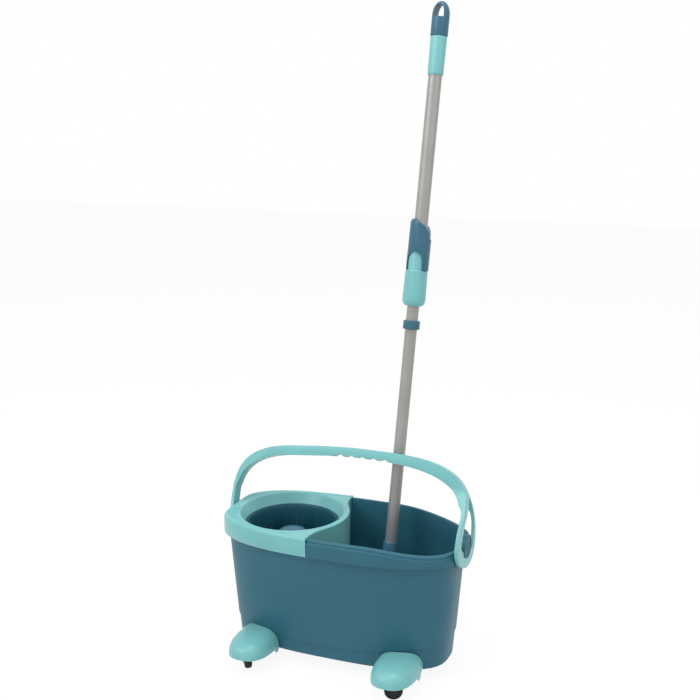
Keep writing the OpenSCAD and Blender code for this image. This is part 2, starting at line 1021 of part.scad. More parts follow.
module castor_wheel(i) {
  half = wheel_width / 2;
  edge = tread_edge;
  bore = axle_radius + running;
  hub = axle_radius + tread_edge;
  color(black)
    at_castor(i)
      translate([castor_trail, 0, wheel_radius])
        rotate([90, 0, 0])
          rotate_extrude()
            polygon(concat(
              [[bore, -half], [hub, -half], [wheel_radius - 2 * edge, rim_recess - half]],
              [for (a = [-90 : 15 : 0]) [wheel_radius - edge + edge * cos(a), edge - half + edge * sin(a)]],
              [for (a = [0 : 15 : 90]) [wheel_radius - edge + edge * cos(a), half - edge + edge * sin(a)]],
              [[wheel_radius - 2 * edge, half - rim_recess], [hub, half], [bore, half]]
            ));
}

module castor_fork_1() {
  castor_fork(0);
}

module castor_fork_2() {
  castor_fork(1);
}

module castor_fork_3() {
  castor_fork(2);
}

module castor_fork_4() {
  castor_fork(3);
}

module castor_stem_1() {
  castor_stem(0);
}

module castor_stem_2() {
  castor_stem(1);
}

module castor_stem_3() {
  castor_stem(2);
}

module castor_stem_4() {
  castor_stem(3);
}

module castor_axle_1() {
  castor_axle(0);
}

module castor_axle_2() {
  castor_axle(1);
}

module castor_axle_3() {
  castor_axle(2);
}

module castor_axle_4() {
  castor_axle(3);
}

module castor_wheel_1() {
  castor_wheel(0);
}

module castor_wheel_2() {
  castor_wheel(1);
}

module castor_wheel_3() {
  castor_wheel(2);
}

module castor_wheel_4() {
  castor_wheel(3);
}

// Puts a piece on the vertical axis of the mop's foot, at floor height
module at_foot() {
  translate([mop_x, mop_y, 0])
    children();
}

// Puts a piece on the pole's leaning axis, measured from the foot ball
module at_pole() {
  translate([mop_x, mop_y, foot_z])
    rotate([-lean_back, lean_side, 0])
      children();
}

module mop_pad() {
  round = pad_thickness / 2 - 1;
  color("whitesmoke")
    at_foot()
      rotate_extrude()
        polygon(concat(
          [[0, pad_z], [pad_radius - round, pad_z]],
          [for (a = [-90 : 10 : 90])
            [
              pad_radius - round + round * cos(a),
              pad_z + pad_thickness / 2 + (pad_thickness / 2 - free) * sin(a)
            ]],
          [[0, plate_z - free]]
        ));
}

module pad_plate() {
  color(teal)
    at_foot()
      difference() {
        rotate_extrude()
          polygon([
            [0, plate_z], [plate_radius, plate_z], [plate_radius, plate_z + plate_wall / 2],
            [plate_radius - plate_wall / 2, plate_z + plate_wall],
            [socket_radius + plate_wall, plate_z + 1.5 * plate_wall],
            [socket_radius, foot_z + socket_lip], [0, foot_z + socket_lip]
          ]);
        translate([0, 0, foot_z])
          sphere(ball_radius + running);
        translate([0, 0, foot_z])
          cylinder(h = far, r1 = ball_radius - 1, r2 = far);
        rivet_places()
          cylinder(h = far, r = rivet_radius, center = true);
      }
}

// Places of the rivets that hold the pad's clips
module rivet_places() {
  for (i = [0 : 5])
    rotate(60 * i)
      translate([plate_radius - 10, 0, 0])
        children();
}

module pad_rivets() {
  color(steel)
    at_foot()
      rivet_places()
        union() {
          translate([0, 0, plate_z])
            cylinder(h = plate_wall + rivet_radius, r = rivet_radius);
          translate([0, 0, plate_z + plate_wall + rivet_radius])
            cylinder(h = rivet_radius, r = 2 * rivet_radius);
        }
}

module foot_ball() {
  color(black)
    at_foot()
      translate([0, 0, foot_z])
        sphere(ball_radius);
}

// Cap of the ball joint, which takes the pole's sideways lean
module joint_liner() {
  color(black)
    at_pole()
      intersection() {
        difference() {
          sphere(liner_radius);
          sphere(ball_radius + running);
        }
        translate([0, 0, liner_start])
          cylinder(h = liner_radius, r = liner_radius);
      }
}

module tube_connector() {
  color(teal)
    at_pole()
      difference() {
        rotate_extrude()
          polygon([
            [0, neck_start], [neck_foot, neck_start], [neck_foot + neck_swell, neck_waist],
            [connector_radius, neck_shoulder], [connector_radius, connector_top - 2 * mouth_bevel],
            [connector_radius - mouth_bevel, connector_top], [0, connector_top]
          ]);
        sphere(liner_radius + running);
        translate([0, 0, tube_seat])
          cylinder(h = far, r = lower_radius);
        translate([0, 0, connector_top - screw_drop])
          rotate([90, 0, 0])
            cylinder(h = 2 * connector_radius, r = screw_radius);
      }
}

module connector_screw() {
  color(steel)
    at_pole()
      translate([0, 0, connector_top - screw_drop])
        rotate([90, 0, 0])
          difference() {
            union() {
              translate([0, 0, lower_radius])
                cylinder(h = connector_radius - lower_radius + 1, r = screw_radius);
              translate([0, 0, connector_radius + 0.5])
                cylinder(h = head_height - free, r = screw_head - free);
            }
            rotate([90, 0, 0])
              cylinder(h = far, r = lower_radius, center = true);
          }
}

module lower_tube() {
  color(steel)
    at_pole()
      tube(lower_radius, lower_radius - tube_wall, tube_seat, lower_top);
}

module rod_plug() {
  color(black)
    at_pole()
      difference() {
        translate([0, 0, lower_top - plug_length])
          cylinder(h = plug_length, r = lower_radius - tube_wall);
        cylinder(h = far, r = rod_radius);
      }
}

// Drive rod, drawn as a plain round bar with a stop at its head
module twisted_rod() {
  color(steel)
    at_pole()
      union() {
        translate([0, 0, lower_top - plug_length])
          cylinder(h = rod_top - lower_top + plug_length, r = rod_radius);
        translate([0, 0, rod_top])
          cylinder(h = rod_radius, r = 1.5 * rod_radius);
      }
}

module stop_ring() {
  color(teal)
    at_pole()
      rotate_extrude()
        polygon([
          [lower_radius + running, ring_start], [ring_radius - 1, ring_start], [ring_radius, ring_start + 1],
          [ring_radius, ring_end - 1], [ring_radius - 1, ring_end], [lower_radius + running, ring_end]
        ]);
}

module upper_tube() {
  color(steel)
    at_pole()
      tube(upper_radius, upper_radius - tube_wall, upper_z, cap_z + cap_socket);
}

module drive_nut() {
  color(black)
    at_pole()
      tube(upper_radius - tube_wall, rod_radius + running, nut_z, nut_z + nut_length);
}

module cap_sleeve() {
  color(mint)
    at_pole()
      rotate_extrude()
        polygon([
          [upper_radius, sleeve_z], [upper_radius + sleeve_wall - lip, sleeve_z],
          [upper_radius + sleeve_wall, sleeve_z + 1], [cap_radius - 2 * lip, cap_z - sleeve_round],
          [cap_radius - sleeve_wall, cap_z - free], [upper_radius, cap_z - free]
        ]);
}

// Front view of the hanging slot
module slot_plan() {
  polygon(concat(
    [[-hang_slot / 2, -hang_bottom], [hang_slot / 2, -hang_bottom]],
    [for (a = [0 : 10 : 180]) [hang_slot / 2 * cos(a), hang_crown * sin(a) - hang_wall - hang_crown]]
  ));
}

module end_cap() {
  color(teal)
    at_pole()
      difference() {
        rotate_extrude()
          polygon(concat(
            [[0, cap_z], [cap_radius, cap_z]],
            [for (a = [0 : 7.5 : 90]) [cap_radius * cos(a), mop_length - cap_crown + cap_crown * sin(a)]]
          ));
        translate([0, 0, cap_z - cut])
          cylinder(h = cap_socket + cut, r = upper_radius);
        translate([0, 0, mop_length])
          rotate([90, 0, 0])
            linear_extrude(4 * cap_radius, center = true)
              slot_plan();
      }
}

// Side view of what is cut off the shell's sloping top
module slope_plan() {
  polygon([
    [-grip_radius, grip_top + cut], [-grip_radius / 3, grip_top],
    [upper_radius, grip_top - 13], [shell_radius - 1, shoulder_z + 8],
    [shell_radius - 1, shoulder_z], [2 * grip_radius, shoulder_z], [2 * grip_radius, grip_top + cut]
  ]);
}

module grip_shell() {
  color(teal)
    at_pole()
      difference() {
        union() {
          rotate_extrude()
            polygon([
              [upper_radius, neck_z], [neck_radius, neck_z],
              [neck_radius, neck_z + collar_wall], [collar_radius, neck_z + collar_wall],
              [collar_radius, shell_floor], [skirt_inner, shell_floor], [skirt_inner, shell_z],
              [shell_radius, shell_z], [shell_radius - 1, grip_top - 6], [shell_radius - 3, grip_top - 1.5],
              [shell_radius - 5, grip_top], [upper_radius, grip_top]
            ]);
          intersection() {
            tube(shoulder_radius, skirt_inner, shell_z, shoulder_z);
            translate([0, -2 * shoulder_radius, 0])
              cube([far, 4 * shoulder_radius, far * 2]);
          }
        }
        rotate([90, 0, 0])
          linear_extrude(2 * grip_radius)
            slope_plan();
        rotate([-90, 0, 0])
          mirror([0, 1, 0])
            linear_extrude(2 * grip_radius)
              slope_plan();
        difference() {
          rotate([90, 0, 0])
            linear_extrude(2 * grip_radius)
              polygon(concat(
                [[-arch_window, shell_z - cut], [arch_window, shell_z - cut]],
                [for (a = [0 : 10 : 180]) [arch_window * cos(a), arch_top - arch_crown + arch_crown * sin(a)]]
              ));
          cylinder(h = far * 2, r = skirt_inner - cut);
        }
      }
}

module lock_slider() {
  color(mint)
    at_pole()
      rotate_extrude()
        polygon([
          [upper_radius + running, slider_z], [grip_radius - 6, slider_z],
          [grip_radius - 2, slider_z + 4], [grip_radius - lip, slider_z + 9],
          [grip_radius, slider_z + 15], [shell_radius, slider_z + slider_length],
          [skirt_inner - free, slider_z + slider_length], [skirt_inner - free, slider_top],
          [collar_radius + free, slider_top], [collar_radius + free, slider_top - slider_hook],
          [neck_radius + free, slider_top - slider_hook], [neck_radius + free, slider_seat],
          [upper_radius + running, slider_seat]
        ]);
}

// Spring that draws the lock slider home, drawn as its envelope
module lock_spring() {
  color(steel)
    at_pole()
      tube(neck_radius - 0.2, collar_radius + 0.4, neck_z + 3, slider_top - 5);
}

bucket();
splash_insert();
bearing_post();
basket_pin();
basket();
basket_hub();
basket_bush();
handle();
hinge_cap_right();
hinge_cap_left();
cover_screws();
castor_cover_1();
castor_cover_2();
castor_cover_3();
castor_cover_4();
castor_fork_1();
castor_fork_2();
castor_fork_3();
castor_fork_4();
castor_stem_1();
castor_stem_2();
castor_stem_3();
castor_stem_4();
castor_axle_1();
castor_axle_2();
castor_axle_3();
castor_axle_4();
castor_wheel_1();
castor_wheel_2();
castor_wheel_3();
castor_wheel_4();
mop_pad();
pad_plate();
pad_rivets();
foot_ball();
joint_liner();
tube_connector();
connector_screw();
lower_tube();
twisted_rod();
rod_plug();
stop_ring();
upper_tube();
drive_nut();
end_cap();
cap_sleeve();
grip_shell();
lock_slider();
lock_spring();
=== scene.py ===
"""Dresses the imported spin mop: bucket, splash insert, handle, castors, mop head and pole.

Lengths are in metres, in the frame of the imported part, with +Z up.
"""

import logging
import math
import random
from dataclasses import dataclass
from enum import Enum
from typing import Callable, Iterable, Optional, Sequence

import bmesh
import bpy
from mathutils import Euler, Matrix, Vector


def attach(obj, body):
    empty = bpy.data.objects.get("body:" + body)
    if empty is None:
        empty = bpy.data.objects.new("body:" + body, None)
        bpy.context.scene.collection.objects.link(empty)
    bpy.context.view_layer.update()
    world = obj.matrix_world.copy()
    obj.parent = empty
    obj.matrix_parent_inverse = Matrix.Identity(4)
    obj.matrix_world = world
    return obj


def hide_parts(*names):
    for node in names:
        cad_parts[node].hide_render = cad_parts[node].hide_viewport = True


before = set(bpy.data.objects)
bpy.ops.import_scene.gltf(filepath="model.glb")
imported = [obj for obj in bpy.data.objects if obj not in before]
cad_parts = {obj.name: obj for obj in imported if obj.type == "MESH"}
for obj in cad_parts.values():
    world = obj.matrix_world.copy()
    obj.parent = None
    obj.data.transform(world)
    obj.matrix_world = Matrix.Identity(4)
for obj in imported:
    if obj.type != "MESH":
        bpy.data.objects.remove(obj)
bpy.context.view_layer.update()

logging.basicConfig(level=logging.INFO, format="%(levelname)s %(message)s")
log = logging.getLogger("spin_mop")

Ring = list[Vector]
Colour = tuple[float, float, float]
Socket = bpy.types.NodeSocket

RING_COUNT = 64  # points round a turned piece
HALVINGS = 50  # steps of a search by halving
SAME_POINT = 1e-6  # points of a skin this close are one
SAME_CAD_POINT = 2e-6  # and points of a CAD node
FLAT = math.radians(0.4)  # faces this close to level with each other are one


def shade(colour: Colour, factor: float) -> tuple[float, float, float, float]:
    """A colour made lighter or darker, with full alpha."""
    return (colour[0] * factor, colour[1] * factor, colour[2] * factor, 1.0)


class Tint(Enum):
    """Base colours of the mop's plastics, metals and yarn."""

    TEAL = (0.030, 0.153, 0.213)
    DEEP_TEAL = (0.013, 0.098, 0.142)
    CAP_TEAL = (0.044, 0.155, 0.236)
    MINT = (0.217, 0.572, 0.578)
    HUB = (0.018, 0.125, 0.190)
    GREY = (0.375, 0.367, 0.347)
    STEEL = (0.560, 0.560, 0.550)
    BLACK = (0.018, 0.020, 0.021)
    NYLON = (0.740, 0.735, 0.700)
    YARN = (0.640, 0.700, 0.700)


# ---- shader groups


class Nodes:
    """A node tree with short calls for adding and joining its nodes."""

    def __init__(self, tree: bpy.types.NodeTree) -> None:
        """Wraps a tree."""
        self.tree = tree
        self.column = 0

    def add(self, kind: str, inputs: Optional[dict] = None, **settings: object) -> bpy.types.Node:
        """Adds a node.

        Args:
            kind: the node's type name.
            inputs: input socket name or index to a value, or to a socket that feeds it.
            settings: the node's own properties.

        Returns:
            The new node.
        """
        node = self.tree.nodes.new(kind)
        self.column += 1
        node.location = (self.column * 180, -(self.column % 4) * 160)
        for name, value in settings.items():
            setattr(node, name, value)
        self.feed(node, inputs or {})
        return node

    def feed(self, node: bpy.types.Node, inputs: dict) -> None:
        """Sets a node's inputs.

        Args:
            node: the node.
            inputs: input socket name or index to a value, or to a socket that feeds it.
        """
        for name, value in inputs.items():
            if isinstance(value, Socket):
                self.tree.links.new(value, node.inputs[name])
            else:
                node.inputs[name].default_value = value

    def tone(self, mask: Socket, tint: "Tint", dark: float, light: float) -> Socket:
        """A tint that runs from a darker to a lighter shade with a mask."""
        shades = {0: mask, 6: shade(tint.value, dark), 7: shade(tint.value, light)}
        return self.add("ShaderNodeMix", shades, data_type="RGBA").outputs[2]

    def spread(self, value: Socket, low: float, high: float) -> Socket:
        """A value from 0 to 1 stretched over a new range."""
        inputs = {"Value": value, "To Min": low, "To Max": high}
        return self.add("ShaderNodeMapRange", inputs).outputs["Result"]

    def relief(self, height: Socket, strength: float, distance: float) -> Socket:
        """A bumped normal made from a height."""
        inputs = {"Height": height, "Strength": strength, "Distance": distance}
        return self.add("ShaderNodeBump", inputs).outputs["Normal"]

    def noise(self, place: Socket, scale: float | Socket, detail: float, roughness: float) -> Socket:
        """Noise from 0 to 1 over a place."""
        inputs = {"Vector": place, "Scale": scale, "Detail": detail, "Roughness": roughness}
        return self.add("ShaderNodeTexNoise", inputs).outputs["Fac"]

    def maths(self, operation: str, first: Socket, second: float | Socket, clamp: bool = False) -> Socket:
        """Two values put through one operation."""
        node = self.add("ShaderNodeMath", {0: first, 1: second}, operation=operation, use_clamp=clamp)
        return node.outputs[0]


class Effects:
    """The shader node groups that several finishes share."""

    def __init__(self) -> None:
        """Builds each group once."""
        self.grain = self._grain()
        self.mottle = self._mottle()
        self.scuffs = self._scuffs()

    @staticmethod
    def _group(name: str, inputs: Iterable[tuple[str, float]], outputs: Iterable[str]) -> Nodes:
        """Makes an empty group.

        Args:
            name: the group's name.
            inputs: name and default of each float input.
            outputs: name of each float output.

        Returns:
            The group's tree, wrapped.
        """
        tree = bpy.data.node_groups.new(name, "ShaderNodeTree")
        for label, value in inputs:
            socket = tree.interface.new_socket(label, in_out="INPUT", socket_type="NodeSocketFloat")
            socket.default_value = value
        for label in outputs:
            tree.interface.new_socket(label, in_out="OUTPUT", socket_type="NodeSocketFloat")
        return Nodes(tree)

    def _grain(self) -> bpy.types.NodeTree:
        """Fine texture of a moulded surface, as a height.

        Returns:
            The group, with input Scale and output Height.
        """
        n = self._group("moulded_grain", [("Scale", 900.0)], ["Height"])
        scale = n.add("NodeGroupInput").outputs["Scale"]
        place = n.add("ShaderNodeTexCoord").outputs["Object"]
        n.add("NodeGroupOutput", {"Height": n.noise(place, scale, 3.0, 0.6)})
        return n.tree

    def _mottle(self) -> bpy.types.NodeTree:
        """Broad soft patches, as in plastic that cooled unevenly.

        Returns:
            The group, with input Scale and output Mask from 0 to 1.
        """
        n = self._group("soft_mottle", [("Scale", 9.0)], ["Mask"])
        scale = n.add("NodeGroupInput").outputs["Scale"]
        place = n.add("ShaderNodeTexCoord").outputs["Object"]
        patches = n.noise(place, scale, 2.0, 0.5)
        spread = n.add("ShaderNodeMapRange", {"Value": patches, "From Min": 0.3, "From Max": 0.7})
        n.add("NodeGroupOutput", {"Mask": spread.outputs["Result"]})
        return n.tree

    def _scuffs(self) -> bpy.types.NodeTree:
        """Thin stray scratches from handling.

        Returns:
            The group, with inputs Scale and Reach and output Mask from 0 to 1.
        """
        n = self._group("handling_scuffs", [("Scale", 30.0), ("Reach", 0.55)], ["Mask"])
        source = n.add("NodeGroupInput")
        stretch = n.add(
            "ShaderNodeMapping",
            {"Vector": n.add("ShaderNodeTexCoord").outputs["Object"], "Rotation": (0.5, 0.9, 0.3),
             "Scale": (1.0, 1.0, 9.0)},
        )
        lines = n.noise(stretch.outputs["Vector"], source.outputs["Scale"], 5.0, 0.7)
        edge = n.maths("SUBTRACT", lines, source.outputs["Reach"])
        n.add("NodeGroupOutput", {"Mask": n.maths("MULTIPLY", edge, 6.0, clamp=True)})
        return n.tree


# ---- finishes


@dataclass(frozen=True)
class Moulded:
    """Injection-moulded plastic: a tint with soft mottling, fine grain and light scuffs."""

    name: str
    tint: Tint
    slot: str
    roughness: float = 0.42
    shine: float = 0.32
    coat: float = 0.0
    grain_scale: float = 900.0
    grain_depth: float = 0.05
    grain_height: float = 0.0004
    variation: float = 0.05
    scuff_roughness: float = 0.12
    coat_roughness: float = 0.18

    def build(self, effects: Effects) -> bpy.types.Material:
        """Makes the material.

        Args:
            effects: the shared shader groups.

        Returns:
            The new material.
        """
        material, n, surface = start_material(self.name)
        mottle = n.add("ShaderNodeGroup", {}, node_tree=effects.mottle)
        scuffs = n.add("ShaderNodeGroup", {}, node_tree=effects.scuffs)
        grain = n.add("ShaderNodeGroup", {"Scale": self.grain_scale}, node_tree=effects.grain)
        n.feed(surface, {
            "Base Color": n.tone(mottle.outputs["Mask"], self.tint, 1 - self.variation, 1 + self.variation),
            "Roughness": n.spread(
                scuffs.outputs["Mask"], self.roughness, self.roughness + self.scuff_roughness,
            ),
            "Normal": n.relief(grain.outputs["Height"], self.grain_depth, self.grain_height),
            "Specular IOR Level": self.shine,
            "Coat Weight": self.coat,
            "Coat Roughness": self.coat_roughness,
        })
        return material


@dataclass(frozen=True)
class CoatedSteel:
    """Thin grey coating on drawn tube, with faint lines along the tube."""

    name: str
    tint: Tint
    slot: str
    metallic: float = 0.35
    roughness: float = 0.36
    line_scale: float = 420.0
    line_stretch: float = 0.02
    line_depth: float = 0.06
    line_height: float = 0.0002
    mottle_scale: float = 24.0

    def build(self, effects: Effects) -> bpy.types.Material:
        """Makes the material.

        Args:
            effects: the shared shader groups.

        Returns:
            The new material.
        """
        material, n, surface = start_material(self.name)
        place = n.add("ShaderNodeTexCoord").outputs["Object"]
        along = n.add("ShaderNodeMapping", {"Vector": place, "Scale": (1.0, 1.0, self.line_stretch)})
        lines = n.noise(along.outputs["Vector"], self.line_scale, 2.0, 0.5)
        mottle = n.add("ShaderNodeGroup", {"Scale": self.mottle_scale}, node_tree=effects.mottle)
        n.feed(surface, {
            "Base Color": n.tone(mottle.outputs["Mask"], self.tint, 0.95, 1.04),
            "Roughness": n.spread(lines, self.roughness - 0.05, self.roughness + 0.08),
            "Normal": n.relief(lines, self.line_depth, self.line_height),
            "Metallic": self.metallic,
        })
        return material


@dataclass(frozen=True)
class Yarn:
    """Twisted microfibre yarn with a soft sheen."""

    name: str
    tint: Tint
    slot: str
    twist_scale: float = 700.0
    twist_depth: float = 0.7
    twist_height: float = 0.0006
    mottle_scale: float = 60.0
    roughness: float = 0.85
    sheen: float = 0.35

    def build(self, effects: Effects) -> bpy.types.Material:
        """Makes the material.

        Args:
            effects: the shared shader groups.

        Returns:
            The new material.
        """
        material, n, surface = start_material(self.name)
        grain = n.add("ShaderNodeGroup", {"Scale": self.twist_scale}, node_tree=effects.grain)
        mottle = n.add("ShaderNodeGroup", {"Scale": self.mottle_scale}, node_tree=effects.mottle)
        n.feed(surface, {
            "Base Color": n.tone(mottle.outputs["Mask"], self.tint, 0.82, 1.12),
            "Normal": n.relief(grain.outputs["Height"], self.twist_depth, self.twist_height),
            "Roughness": self.roughness,
            "Sheen Weight": self.sheen,
        })
        return material


Finish = Moulded | CoatedSteel | Yarn


def start_material(name: str) -> tuple[bpy.types.Material, Nodes, bpy.types.Node]:
    """Makes a material with one surface shader.

    Args:
        name: the material's name.

    Returns:
        The material, its tree wrapped, and its Principled shader.
    """
    material = bpy.data.materials.new(name)
    material.use_nodes = True
    material.node_tree.nodes.clear()
    n = Nodes(material.node_tree)
    surface = n.add("ShaderNodeBsdfPrincipled")
    n.add("ShaderNodeOutputMaterial", {"Surface": surface.outputs["BSDF"]})
    return material, n, surface


class Palette:
    """Every finish of the mop, each made once."""

    BODY = Moulded("bucket_polypropylene", Tint.TEAL, "teal_plastic", roughness=0.44, grain_depth=0.10)
    TRIM = Moulded("cap_plastic", Tint.CAP_TEAL, "teal_plastic", roughness=0.38, coat=0.1)
    BASKET = Moulded("basket_plastic", Tint.DEEP_TEAL, "deep_teal_plastic", roughness=0.4)
    MINT = Moulded(
        "mint_polypropylene", Tint.MINT, "mint_plastic", roughness=0.34, coat=0.15, grain_depth=0.03,
    )
    HUB = Moulded("hub_plastic", Tint.HUB, "hub_plastic", roughness=0.3, coat=0.2)
    BLACK = Moulded("black_nylon", Tint.BLACK, "black_plastic", roughness=0.5, grain_depth=0.12)
    RUBBER = Moulded("wheel_rubber", Tint.BLACK, "wheel_rubber", roughness=0.68, grain_depth=0.25)
    NYLON = Moulded("white_nylon", Tint.NYLON, "white_nylon", roughness=0.5)
    TUBE = CoatedSteel("coated_tube", Tint.GREY, "pole_paint")
    STEEL = CoatedSteel("turned_steel", Tint.STEEL, "bright_steel", metallic=1.0, roughness=0.28)
    YARN = Yarn("microfibre_yarn", Tint.YARN, "pad_fabric")

    def __init__(self) -> None:
        """Builds the shared effects."""
        self.effects = Effects()
        self.made: dict[str, bpy.types.Material] = {}

    def dress(self, piece: bpy.types.Object, finish: Finish) -> None:
        """Gives a piece its finish.

        Args:
            piece: the piece.
            finish: the finish to give it.
        """
        if finish.name not in self.made:
            self.made[finish.name] = finish.build(self.effects)
        piece.data.materials.clear()
        piece.data.materials.append(self.made[finish.name])

    def dress_nodes(self, finish: Finish, *nodes: str) -> None:
        """Gives a finish to CAD nodes that are shown as they are.

        Args:
            finish: the finish to give them.
            nodes: the nodes' names.
        """
        for node in nodes:
            self.dress(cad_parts[node], finish)
            log.info("%s keeps its solid", node)

    def fit(self, piece: bpy.types.Object, node: str, body: str, finish: Finish) -> None:
        """Lets a piece stand for a CAD node.

        Args:
            piece: the piece.
            node: the CAD node that it replaces.
            body: the body that it moves with.
            finish: the finish to give it.
        """
        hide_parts(node)
        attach(piece, body)
        self.dress(piece, finish)
        log.info("%s stands for %s, %d faces", piece.name, node, len(piece.data.polygons))


# ---- modelling tools


def deselect() -> None:
    """Leaves edit mode and deselects everything."""
    if bpy.context.object and bpy.context.object.mode != "OBJECT":
        bpy.ops.object.mode_set(mode="OBJECT")
    bpy.ops.object.select_all(action="DESELECT")


def pick(piece: bpy.types.Object) -> None:
    """Makes a piece the only selected and active object.

    Args:
        piece: the piece.
    """
    deselect()
    piece.select_set(True)
    bpy.context.view_layer.objects.active = piece


def apply_modifier(piece: bpy.types.Object, kind: str, **settings: object) -> None:
    """Adds a modifier and applies it.

    Args:
        piece: the piece to change.
        kind: the modifier's type.
        settings: the modifier's properties.
    """
    pick(piece)
    modifier = piece.modifiers.new(kind.lower(), kind)
    for name, value in settings.items():
        setattr(modifier, name, value)
    bpy.ops.object.modifier_apply(modifier=modifier.name)


def bevel(piece: bpy.types.Object, width: float, segments: int = 3, angle: float = 35.0) -> None:
    """Rounds a piece's sharp edges.

    Args:
        piece: the piece.
        width: width of the rounding.
        segments: faces across the rounding.
        angle: edges sharper than this, in degrees, are rounded.
    """
    apply_modifier(
        piece, "BEVEL", width=width, segments=segments, limit_method="ANGLE",
        angle_limit=math.radians(angle), use_clamp_overlap=True, miter_outer="MITER_ARC",
    )


def cut(piece: bpy.types.Object, cutter: bpy.types.Object) -> None:
    """Cuts a solid out of a piece and deletes the cutter."""
    apply_modifier(piece, "BOOLEAN", operation="DIFFERENCE", object=cutter, solver="EXACT")
    bpy.data.objects.remove(cutter)


def fuse(piece: bpy.types.Object, other: bpy.types.Object) -> None:
    """Joins a solid to a piece as one skin and deletes the other."""
    apply_modifier(piece, "BOOLEAN", operation="UNION", object=other, solver="EXACT")
    bpy.data.objects.remove(other)


def smooth(piece: bpy.types.Object, angle: float = 32.0) -> None:
    """Shades a piece smooth except at sharp edges."""
    pick(piece)
    bpy.ops.object.shade_smooth_by_angle(angle=math.radians(angle))


def tidy_skin(piece: bpy.types.Object) -> None:
    """Merges doubles and turns all faces outwards.

    Args:
        piece: the piece.
    """
    pick(piece)
    bpy.ops.object.mode_set(mode="EDIT")
    bpy.ops.mesh.select_all(action="SELECT")
    bpy.ops.mesh.remove_doubles(threshold=SAME_POINT)
    bpy.ops.mesh.normals_make_consistent(inside=False)
    bpy.ops.object.mode_set(mode="OBJECT")


def loft(name: str, rings: Sequence[Ring], closed: bool = False) -> bpy.types.Object:
    """Draws a skin through rings that have the same number of points.

    The first ring is a circle primitive, and each further ring is extruded from the last.

    Args:
        name: the piece's name.
        rings: the rings, in order along the skin.
        closed: whether the last ring meets the first, rather than both ends being filled.

    Returns:
        The new piece, a closed skin with its faces outwards.
    """
    deselect()
    bpy.ops.mesh.primitive_circle_add(vertices=len(rings[0]), radius=1.0)
    piece = bpy.context.object
    piece.name = name
    for vertex, point in zip(piece.data.vertices, rings[0]):
        vertex.co = point
    bpy.ops.object.mode_set(mode="EDIT")
    mesh = bmesh.from_edit_mesh(piece.data)
    place = mesh.verts.layers.int.new("place")
    for index, vertex in enumerate(mesh.verts):
        vertex[place] = index
    bpy.ops.mesh.select_all(action="SELECT")
    for ring in rings[1:]:
        bpy.ops.mesh.extrude_region_move()
        mesh = bmesh.from_edit_mesh(piece.data)
        place = mesh.verts.layers.int["place"]
        for vertex in mesh.verts:
            if vertex.select:
                vertex.co = ring[vertex[place]]
    bmesh.update_edit_mesh(piece.data)
    bpy.ops.mesh.select_mode(type="VERT")
    bpy.ops.mesh.select_all(action="DESELECT")
    bpy.ops.mesh.select_non_manifold()
    if closed:
        bpy.ops.mesh.bridge_edge_loops()
    else:
        bpy.ops.mesh.fill_holes(sides=0)
    bpy.ops.object.mode_set(mode="OBJECT")
    tidy_skin(piece)
    return piece


def join(name: str, pieces: Sequence[bpy.types.Object]) -> bpy.types.Object:
    """Joins several pieces into one object.

    Args:
        name: the joined piece's name.
        pieces: the pieces to join.

    Returns:
        The joined piece.
    """
    pick(pieces[0])
    for piece in pieces[1:]:
        piece.select_set(True)
    bpy.ops.object.join()
    pieces[0].name = name
    return pieces[0]


def turned(name: str, profile: Sequence[tuple[float, float]]) -> bpy.types.Object:
    """Turns a profile of radii and heights about the Z axis."""
    turns = [math.tau * i / RING_COUNT for i in range(RING_COUNT)]
    return loft(name, [[Vector((r * math.cos(a), r * math.sin(a), z)) for a in turns] for r, z in profile])


def lay_outward(piece: bpy.types.Object, side: int, x: float, z: float) -> None:
    """Turns an upright piece to lie along X, and moves it to its place.

    Args:
        piece: the piece, drawn along +Z.
        side: 1 to point it towards +X, -1 towards -X.
        x: distance of its foot from the middle of the part.
        z: height of its axis.
    """
    tilt = Euler((0.0, side * math.pi / 2, 0.0)).to_matrix().to_4x4()
    piece.matrix_world = Matrix.Translation((side * x, 0.0, z)) @ tilt
    pick(piece)
    bpy.ops.object.transform_apply(location=True, rotation=True, scale=True)


def softened(node: str, name: str, width: float, segments: int = 3, angle: float = 35.0) -> bpy.types.Object:
    """Copies a CAD node, merges its faces and rounds its edges.

    Args:
        node: the CAD node to copy.
        name: the new piece's name.
        width: width of the rounding.
        segments: faces across the rounding.
        angle: edges sharper than this, in degrees, are rounded.

    Returns:
        The new piece.
    """
    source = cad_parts[node]
    piece = bpy.data.objects.new(name, source.data.copy())
    bpy.context.scene.collection.objects.link(piece)
    pick(piece)
    bpy.ops.object.mode_set(mode="EDIT")
    bpy.ops.mesh.select_all(action="SELECT")
    bpy.ops.mesh.remove_doubles(threshold=SAME_CAD_POINT)
    bpy.ops.mesh.customdata_custom_splitnormals_clear()
    bpy.ops.mesh.dissolve_limited(angle_limit=FLAT)
    bpy.ops.object.mode_set(mode="OBJECT")
    bevel(piece, width, segments, angle)
    smooth(piece)
    return piece


# ---- bucket


def halved(low: float, high: float, above: Callable[[float], bool]) -> float:
    """Finds where a test turns false, by halving a span.

    Args:
        low: the span's lower end, where the test is true.
        high: the span's upper end, where it is false.
        above: tells whether the place sought is above a value.

    Returns:
        The place.
    """
    for _ in range(HALVINGS):
        middle = (low + high) / 2
        low, high = (middle, high) if above(middle) else (low, middle)
    return low


def eased(x: float, limit: float, ease: float = 0.006) -> float:
    """Holds a length within a limit, with a soft shoulder instead of a corner."""
    over = max(ease - abs(abs(x) - limit), 0.0) / ease
    return math.copysign(min(abs(x), limit) - ease * over * over / 4, x)


